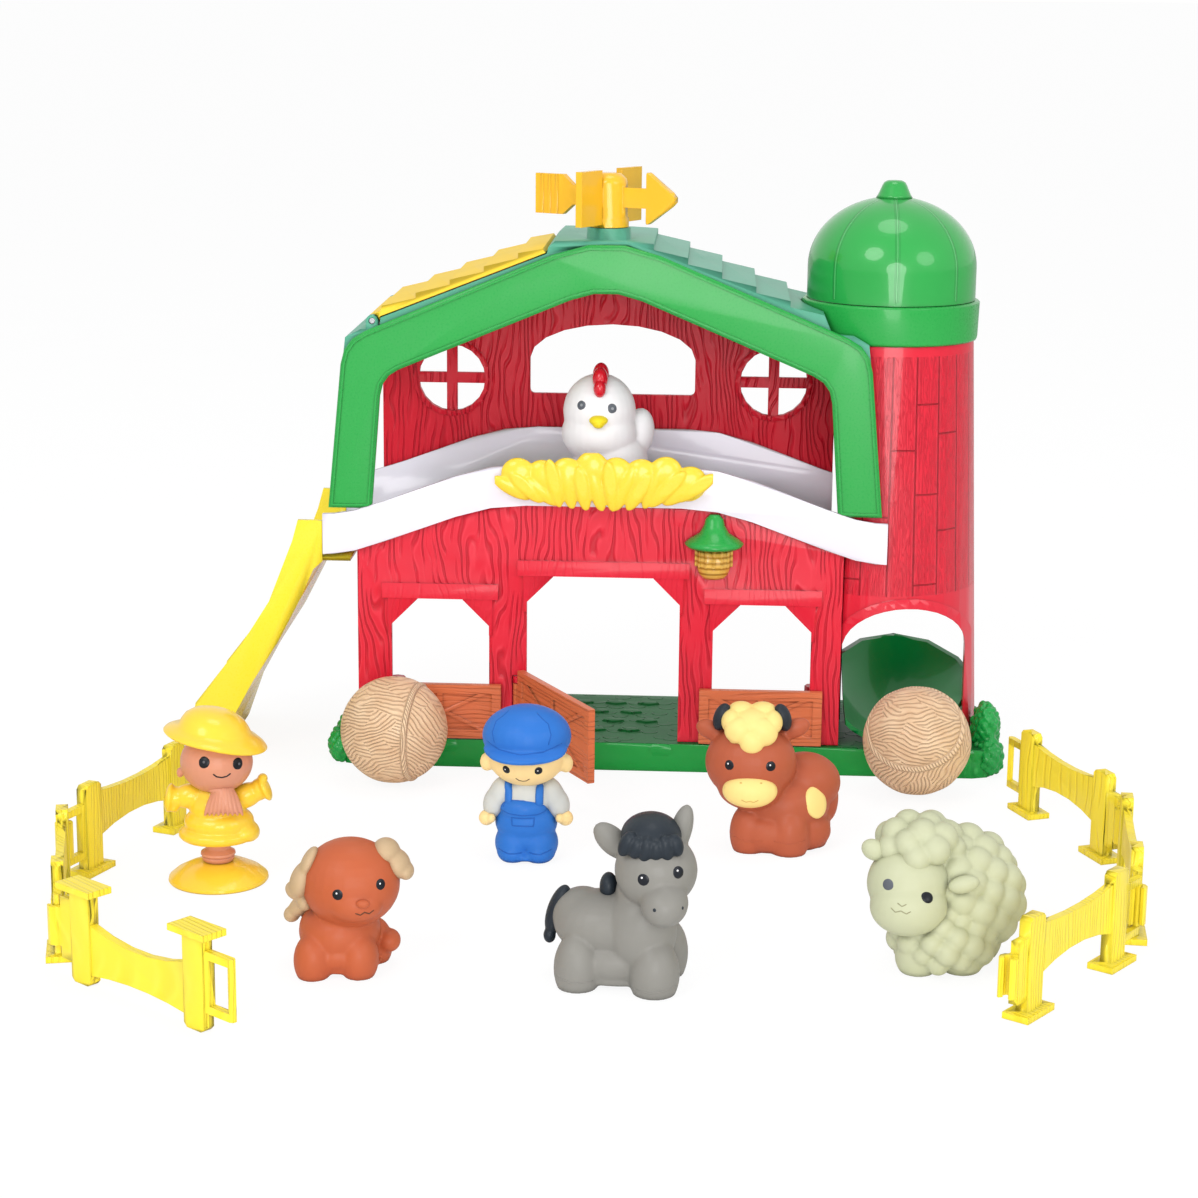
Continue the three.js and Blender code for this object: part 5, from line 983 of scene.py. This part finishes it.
def make_calf():
    """A stout body with its head, a spot, a muzzle, a tuft and two horns."""
    calf = Figure("calf_part", 60.5, (73.5, -135, 0))
    calf.part("calf_body", [
        # Legs, trunk, back, tail, head, jaw, brow, ears, and what fills between the legs
        [-0.16, -0.15, 0.12, 0.13, 0.13, 0.2], [0.1, -0.2, 0.12, 0.14, 0.13, 0.2],
        [0.25, 0.0, 0.13, 0.13, 0.14, 0.2], [0, 0.1, 0.12, 0.13, 0.13, 0.2],
        [0.06, -0.03, 0.3, 0.31, 0.25, 0.21], [0.2, 0.03, 0.42, 0.24, 0.2, 0.2],
        [0.36, 0.06, 0.3, 0.07, 0.08, 0.16],
        [-0.16, -0.14, 0.60, 0.3, 0.25, 0.26], [-0.16, -0.2, 0.46, 0.22, 0.21, 0.16],
        [-0.16, -0.14, 0.76, 0.2, 0.18, 0.12],
        [-0.43, -0.1, 0.80, 0.1, 0.05, 0.065, (0, 24, 0)], [0.12, -0.1, 0.82, 0.11, 0.05, 0.065, (0, -24, 0)],
        [-0.03, -0.18, 0.13, 0.2, 0.13, 0.14], [0.2, -0.1, 0.13, 0.18, 0.13, 0.14],
        [0.05, -0.05, 0.05, 0.28, 0.2, 0.05],
    ], calf_brown, replaced=["calf"])
    for side, points in (("left", [(-0.26, 0.115), (-0.17, 0.095), (-0.07, 0.11)]),
                         ("right", [(0.0, 0.11), (0.09, 0.10), (0.2, 0.115)])):
        calf.line(f"calf_hoof_{side}", points, 0.5, calf_brown)
    calf.dot("calf_spot", 0.28, 0.35, 0.09, calf_cream, tall=1.2, proud=0.7, deep=1.9)
    calf.eyes("calf", ((-0.305, 0.635), (-0.035, 0.635)), 0.037, black_eye, 0.006, hen_white, -0.004, 0.01)
    calf.part("calf_muzzle", [[-0.165, -0.33, 0.46, 0.18, 0.12, 0.112]], calf_cream, voxel=0.5, rounds=2)
    for side, x in (("left", -0.225), ("right", -0.095)):
        calf.dot(f"calf_nostril_{side}", x, 0.535, 0.017, nostril_tan, tall=0.7, proud=0.08)
    smile = [(-0.22, 0.43), (-0.19, 0.415), (-0.165, 0.422), (-0.14, 0.415), (-0.11, 0.43)]
    calf.line("calf_smile", smile, 0.4, nostril_tan)
    calf.part("calf_tuft", [
        [-0.16, -0.18, 0.87, 0.165, 0.16, 0.11], [-0.1, -0.28, 0.84, 0.11, 0.08, 0.1],
        [-0.24, -0.28, 0.85, 0.1, 0.08, 0.09], [-0.16, -0.32, 0.78, 0.08, 0.06, 0.08],
        [-0.29, -0.21, 0.89, 0.07, 0.1, 0.08], [-0.03, -0.21, 0.89, 0.07, 0.1, 0.08],
        [-0.23, -0.14, 0.95, 0.085, 0.09, 0.055], [-0.09, -0.14, 0.95, 0.09, 0.09, 0.055],
        [-0.27, -0.28, 0.81, 0.045, 0.05, 0.05], [-0.05, -0.28, 0.82, 0.05, 0.05, 0.06],
    ], calf_cream, voxel=0.45, rounds=1)
    calf.part("calf_horns", [
        [-0.355, -0.16, 0.905, 0.055, 0.06, 0.095, (0, 18, 0)],
        [0.04, -0.16, 0.91, 0.055, 0.06, 0.095, (0, -18, 0)],
    ], horn_black, voxel=0.4, rounds=2)


def make_puppy():
    """A sitting body with its head, a nose, drooping ears and a tail."""
    puppy = Figure("puppy_part", 49, (-80, -283, 0))
    puppy.part("puppy_body", [
        # Legs, trunk, rump, hind foot, head, muzzle, and what fills between the legs
        [-0.16, -0.2, 0.12, 0.14, 0.15, 0.2], [0.16, -0.16, 0.13, 0.14, 0.15, 0.2],
        [-0.1, 0.2, 0.12, 0.16, 0.17, 0.2], [0.22, 0.16, 0.12, 0.14, 0.15, 0.2],
        [0, 0, 0.28, 0.29, 0.3, 0.24], [-0.18, 0.2, 0.42, 0.16, 0.18, 0.18],
        [0.34, 0.1, 0.17, 0.085, 0.1, 0.085],
        [0.1, -0.12, 0.68, 0.35, 0.3, 0.32], [0.15, -0.3, 0.58, 0.2, 0.14, 0.13],
        [0, -0.12, 0.15, 0.2, 0.18, 0.13], [0.02, 0, 0.05, 0.28, 0.26, 0.05],
    ], puppy_brown, replaced=["puppy"])
    puppy.eyes("puppy", ((0.05, 0.685), (0.34, 0.735)), 0.044, black_eye, 0.007, hen_white, -0.006, 0.01)
    mouth = [(0.175, 0.56), (0.21, 0.545), (0.238, 0.565), (0.268, 0.55), (0.3, 0.572)]
    puppy.line("puppy_mouth", mouth, 0.5, mouth_brown)
    puppy.part("puppy_nose", [[0.225, -0.42, 0.625, 0.05, 0.035, 0.032]], puppy_brown, voxel=0.35, rounds=1)
    puppy.part("puppy_ears", [
        [-0.185, -0.16, 0.83, 0.055, 0.12, 0.12, (0, 24, 0)],
        [-0.235, -0.16, 0.70, 0.085, 0.13, 0.14, (0, 20, 0)],
        [-0.28, -0.14, 0.61, 0.085, 0.1, 0.06, (0, 30, 0)], [-0.22, -0.14, 0.54, 0.06, 0.1, 0.07],
        [0.35, -0.08, 0.90, 0.09, 0.13, 0.10, (0, -60, 0)],
        [0.43, -0.08, 0.81, 0.085, 0.13, 0.11, (0, -30, 0)],
        [0.49, -0.09, 0.76, 0.055, 0.1, 0.06, (0, -10, 0)],
    ], ear_beige, voxel=0.5, rounds=2)
    puppy.part("puppy_tail", [
        [-0.28, 0.08, 0.43, 0.12, 0.12, 0.065, (0, -38, 0)], [-0.35, 0.07, 0.36, 0.06, 0.09, 0.055],
    ], ear_beige, voxel=0.5, rounds=2)


def make_donkey():
    """A sitting body with its head, a mane of locks and a tail."""
    donkey = Figure("donkey_part", 63, (17.5, -287, 0))
    donkey.part("donkey_body", [
        # Legs, trunk, chest, rump, neck, head, muzzle, ears, and what fills between the legs
        [-0.22, -0.14, 0.11, 0.13, 0.13, 0.2], [0.2, -0.2, 0.11, 0.14, 0.14, 0.2],
        [-0.18, 0.16, 0.12, 0.12, 0.13, 0.2], [0.26, 0.1, 0.12, 0.12, 0.13, 0.2],
        [-0.05, 0, 0.32, 0.31, 0.22, 0.19], [0.12, -0.1, 0.32, 0.2, 0.18, 0.24],
        [-0.2, 0.05, 0.34, 0.17, 0.18, 0.16],
        [0.12, -0.06, 0.52, 0.14, 0.15, 0.16], [0.2, -0.14, 0.68, 0.225, 0.21, 0.21],
        [0.25, -0.3, 0.55, 0.13, 0.15, 0.12, (20, 0, 0)],
        [-0.04, -0.03, 0.80, 0.075, 0.06, 0.13, (0, -46, 0)],
        [0.33, -0.06, 0.88, 0.06, 0.06, 0.15, (0, 14, 0)],
        [-0.02, -0.1, 0.14, 0.24, 0.14, 0.13], [0.0, -0.02, 0.05, 0.32, 0.2, 0.05],
    ], donkey_grey, replaced=["donkey"])
    donkey.eyes("donkey", ((0.135, 0.69), (0.322, 0.725)), 0.036, black_eye, 0.006, hen_white, -0.005, 0.01)
    for side, x in (("left", 0.2), ("right", 0.35)):
        donkey.dot(f"donkey_nostril_{side}", x, 0.555, 0.016, mane_black, proud=0.1)
    for side, points in (("left", [(-0.34, 0.085), (-0.25, 0.065), (-0.13, 0.07)]),
                         ("right", [(0.07, 0.05), (0.19, 0.045), (0.32, 0.07)])):
        donkey.line(f"donkey_hoof_{side}", points, 0.55, donkey_grey)
    locks = [[0.045 + 0.052 * i, -0.27 - 0.02 * math.sin(i * 0.6), 0.865 - 0.004 * i * (5 - i),
              0.042, 0.045, 0.078 - 0.012 * (i % 2), (8, 24 - 8 * i, 0)] for i in range(6)]
    donkey.part("donkey_mane", [
        [0.17, -0.12, 0.865, 0.165, 0.19, 0.125], [0.05, 0.02, 0.62, 0.06, 0.13, 0.2],
        [-0.06, 0.0, 0.53, 0.05, 0.07, 0.08], *locks,
    ], mane_black, voxel=0.45, rounds=1)
    donkey.part("donkey_tail", [
        [-0.34, 0.08, 0.36, 0.06, 0.07, 0.15, (0, 18, 0)], [-0.385, 0.07, 0.215, 0.035, 0.045, 0.045],
    ], mane_black, voxel=0.5, rounds=2)


def wool_curls(middle, radii, count, size, seed, keep):
    """Curls spread evenly over an egg shape, where keep says so, each at the golden angle from the last."""
    golden_angle = 2.399963
    chance = random.Random(seed)
    curls = []
    for i in range(count):
        z = 1 - 2 * (i + 0.5) / count
        wide = math.sqrt(1 - z * z)
        angle = i * golden_angle
        way = (wide * math.cos(angle), wide * math.sin(angle), z)
        spot = [c + r * w for c, r, w in zip(middle, radii, way)]
        if keep(*spot):
            grow = size * chance.uniform(0.85, 1.15)
            curls.append([*spot, grow, grow, grow])
    return curls


def make_sheep():
    """A curly fleece over body and head, ears and a smooth face."""
    sheep = Figure("sheep_part", 61.5, (129.5, -261, 0))
    eggs = [
        # Legs, trunk, what fills between the legs, and head
        [-0.13, -0.18, 0.09, 0.13, 0.14, 0.14], [0.12, -0.14, 0.09, 0.14, 0.15, 0.14],
        [-0.1, 0.2, 0.1, 0.13, 0.15, 0.18], [0.25, 0.12, 0.12, 0.13, 0.16, 0.18],
        [0.09, 0.04, 0.4, 0.325, 0.3, 0.335], [0.04, -0.03, 0.16, 0.26, 0.26, 0.14],
        [0.05, 0, 0.04, 0.27, 0.26, 0.04],
        [-0.14, -0.1, 0.66, 0.2, 0.18, 0.16],
    ]
    eggs += wool_curls((0.1, 0.05, 0.4), (0.305, 0.28, 0.31), 84, 0.092, 2,
                       lambda x, y, z: z > 0.1 and not (x < -0.02 and y < -0.1 and z < 0.75))
    eggs += wool_curls((0.02, -0.06, 0.2), (0.25, 0.29, 0.2), 64, 0.075, 8, lambda x, y, z: 0.06 < z < 0.36)
    eggs += wool_curls((-0.14, -0.1, 0.69), (0.195, 0.18, 0.15), 34, 0.082, 5, lambda x, y, z: z > 0.68)
    sheep.part("sheep_wool", eggs, wool_cream, rounds=2, voxel=0.6, replaced=["sheep"])
    sheep.part("sheep_ears", [
        [-0.4, -0.2, 0.72, 0.075, 0.05, 0.06, (0, 30, 0)], [0.1, -0.32, 0.57, 0.09, 0.05, 0.05, (0, -14, 0)],
    ], wool_cream, voxel=0.5, rounds=2)
    sheep.part("sheep_face", [
        [-0.2, -0.2, 0.53, 0.235, 0.2, 0.22], [-0.2, -0.28, 0.42, 0.22, 0.18, 0.17],
    ], wool_cream)
    sheep.dot("sheep_eye_left", -0.325, 0.57, 0.037, grey_eye)
    sheep.dot("sheep_eye_right", -0.108, 0.52, 0.037, black_eye, proud=0.45, deep=0.8)
    mouth = [(-0.31, 0.46), (-0.285, 0.44), (-0.255, 0.45), (-0.225, 0.436), (-0.2, 0.45)]
    sheep.line("sheep_mouth", mouth, 0.35, wool_shade)
    sheep.line("sheep_nose", [(-0.275, 0.49), (-0.25, 0.475), (-0.225, 0.487)], 0.35, wool_shade)


def make_chicken():
    """A round body with its tail, a beak and a comb."""
    chicken = Figure("chicken_part", 55, (-1.5, -8, 120.2))
    chicken.part("chicken_body", [
        # Body, head, breast and tail
        [0.05, 0.02, 0.22, 0.3, 0.3, 0.27], [-0.04, -0.02, 0.62, 0.29, 0.28, 0.3],
        [-0.04, -0.04, 0.45, 0.3, 0.27, 0.25],
        [0.27, 0.1, 0.43, 0.125, 0.15, 0.2, (0, 8, 0)],
    ], hen_white, replaced=["chicken"])
    chicken.eyes("chicken", ((-0.175, 0.70), (0.068, 0.678)), 0.042, grey_eye, 0.012, pupil_grey, 0.004, 0)
    chicken.part("chicken_beak", [
        [-0.035, -0.29, 0.585, 0.075, 0.07, 0.042], [-0.035, -0.31, 0.565, 0.05, 0.05, 0.04],
    ], beak_yellow, voxel=0.35, rounds=1)
    chicken.part("chicken_comb", [
        [-0.03, -0.06, 0.92, 0.065, 0.1, 0.09, (20, 0, 0)],
        [-0.03, -0.18, 0.90, 0.062, 0.09, 0.09, (30, 0, 0)],
        [-0.03, -0.25, 0.83, 0.05, 0.06, 0.07],
    ], comb_red, voxel=0.4, rounds=1)


def make_scarecrow():
    """A disc and a post, a coat with a collar of straw, a head and a leaning hat."""
    straw_man = Figure("scarecrow", 66.5, (-139.5, -195, 0), 6)
    straw_man.turned("scarecrow_disc", [
        (0, 0.115), (0.1, 0.11), (0.18, 0.088), (0.25, 0.052), (0.283, 0.024), (0.286, 0.008), (0.28, 0),
        (0, 0),
    ], hat_yellow, replaced=["scarecrow_stand"])
    straw_man.turned("scarecrow_post", [
        (0, 0.27), (0.072, 0.27), (0.07, 0.19), (0.08, 0.178), (0.098, 0.168), (0.1, 0.156), (0.088, 0.146),
        (0.094, 0.138), (0.09, 0.122), (0.078, 0.112), (0, 0.108),
    ], straw_skin, replaced=["scarecrow_leg"])
    straw_man.part("scarecrow_coat_shell", [
        # Hem, skirt, chest, shoulders, a fold of the hem, then each sleeve with its cuff
        [0, 0, 0.28, 0.225, 0.195, 0.07], [0.01, 0, 0.35, 0.2, 0.175, 0.1], [0, 0, 0.43, 0.16, 0.145, 0.12],
        [0, 0, 0.5, 0.12, 0.11, 0.09], [0.16, -0.02, 0.3, 0.085, 0.12, 0.06, (0, 18, 0)],
        [-0.155, 0, 0.50, 0.1, 0.07, 0.072, (0, -8, 0)], [-0.235, 0, 0.49, 0.055, 0.062, 0.065],
        [-0.268, 0, 0.49, 0.03, 0.078, 0.085, (0, 8, 0)], [-0.245, 0, 0.445, 0.035, 0.05, 0.04],
        [0.165, 0, 0.50, 0.1, 0.07, 0.072, (0, -24, 0)], [0.24, 0, 0.535, 0.055, 0.062, 0.065],
        [0.275, 0, 0.545, 0.028, 0.078, 0.08, (0, -24, 0)], [0.262, 0, 0.6, 0.03, 0.045, 0.03],
    ], hat_yellow, voxel=0.5, rounds=2, foot=0.245, replaced=["scarecrow_coat"])
    straws = [[0.05 + 0.0195 * i, -0.165 + 0.0022 * i * i, 0.517 - 0.001 * i * i, 0.015, 0.024, 0.084,
               (-16, -5.4 * i, 0)] for i in range(-4, 5)]
    straws.append([0.03, -0.1, 0.575, 0.08, 0.06, 0.03])
    straw_man.part("scarecrow_collar", straws, straw_skin, voxel=0.35, rounds=0)
    straw_man.part("scarecrow_face", [
        [0.005, -0.02, 0.71, 0.207, 0.185, 0.18], [0.005, -0.02, 0.665, 0.185, 0.17, 0.115],
        [-0.205, 0, 0.64, 0.02, 0.03, 0.03],
    ], straw_skin, voxel=0.5, rounds=3, replaced=["scarecrow_head"])
    straw_man.eyes("scarecrow", ((-0.052, 0.757), (0.14, 0.735)), 0.036, black_eye, 0.008, grey_eye, 0.002, 0)
    smile = [(0.0, 0.69), (0.02, 0.673), (0.048, 0.667), (0.076, 0.672), (0.098, 0.688)]
    straw_man.line("scarecrow_smile", smile, 0.6, black_eye)

    def droop(x, y, z):
        """The hat leans to the right, where its brim hangs a little more."""
        out = max(0.0, math.hypot(x, y) - 0.2) / 0.1
        return x, y, z - 0.17 * x - out * 0.03 * max(0.0, x / 0.3)

    straw_man.turned("scarecrow_hat_shell", [
        (0, 1.018), (0.07, 1.012), (0.125, 0.995), (0.168, 0.965), (0.192, 0.93), (0.204, 0.905),
        (0.215, 0.893), (0.25, 0.882), (0.283, 0.866), (0.292, 0.856), (0.286, 0.848), (0.24, 0.862),
        (0.2, 0.872), (0, 0.872),
    ], hat_yellow, replaced=["scarecrow_hat"], droop=droop)


# Build

make_camera()
make_stage()

dressed = {
    "base": (base_green, "playset"), "barn_wall": (barn_red, "playset"),
    "loft_tray": (tray_white, "playset"), "back_wall": (back_red, "playset"),
    "gable_frame": (leaf_green, "playset"), "roof_shell": (roof_green, "playset"),
    "roof_hatch": (hatch_yellow, "hatch"), "weather_vane": (vane_yellow, "vane"),
    "silo_wall": (silo_red, "playset"), "silo_chute": (chute_green, "playset"),
    "silo_ring": (leaf_green, "playset"), "lantern_cap": (leaf_green, "playset"),
    "lantern_glass": (lamp_amber, "playset"), "gate_left": (gate_wood, "playset"),
    "gate_right": (gate_wood, "playset"), "gate_hinge": (plain_red, "playset"),
    "gate_middle": (gate_wood, "gate"), "slide": (slide_lemon, "slide_part"),
}
for side in ("right", "left"):
    for i, letter in enumerate("abc"):
        dressed[f"fence_{side}_{letter}"] = (fence_lemon, f"fence_{side[0]}{i + 1}")
# Curves drawn with few facets are shaded as one over wider angles
coarsely_curved = ("lantern_cap", "lantern_glass", "silo_ring", "slide", "loft_tray")
coarse_angle, fine_angle = 44, 32
for node, (finish, body) in dressed.items():
    edged(node, finish, body, angle=coarse_angle if node in coarsely_curved else fine_angle)
for node in nodes:
    if "screw" in node or node.endswith("_pin"):
        nodes[node].data.materials.clear()
        nodes[node].data.materials.append(pin_steel.material)

make_bales()
make_dome(dome_green)
make_hay(hay_yellow)
make_bushes(bush_green)
make_lip("gable_frame", leaf_green)
make_farmer()
make_calf()
make_puppy()
make_donkey()
make_sheep()
make_chicken()
make_scarecrow()
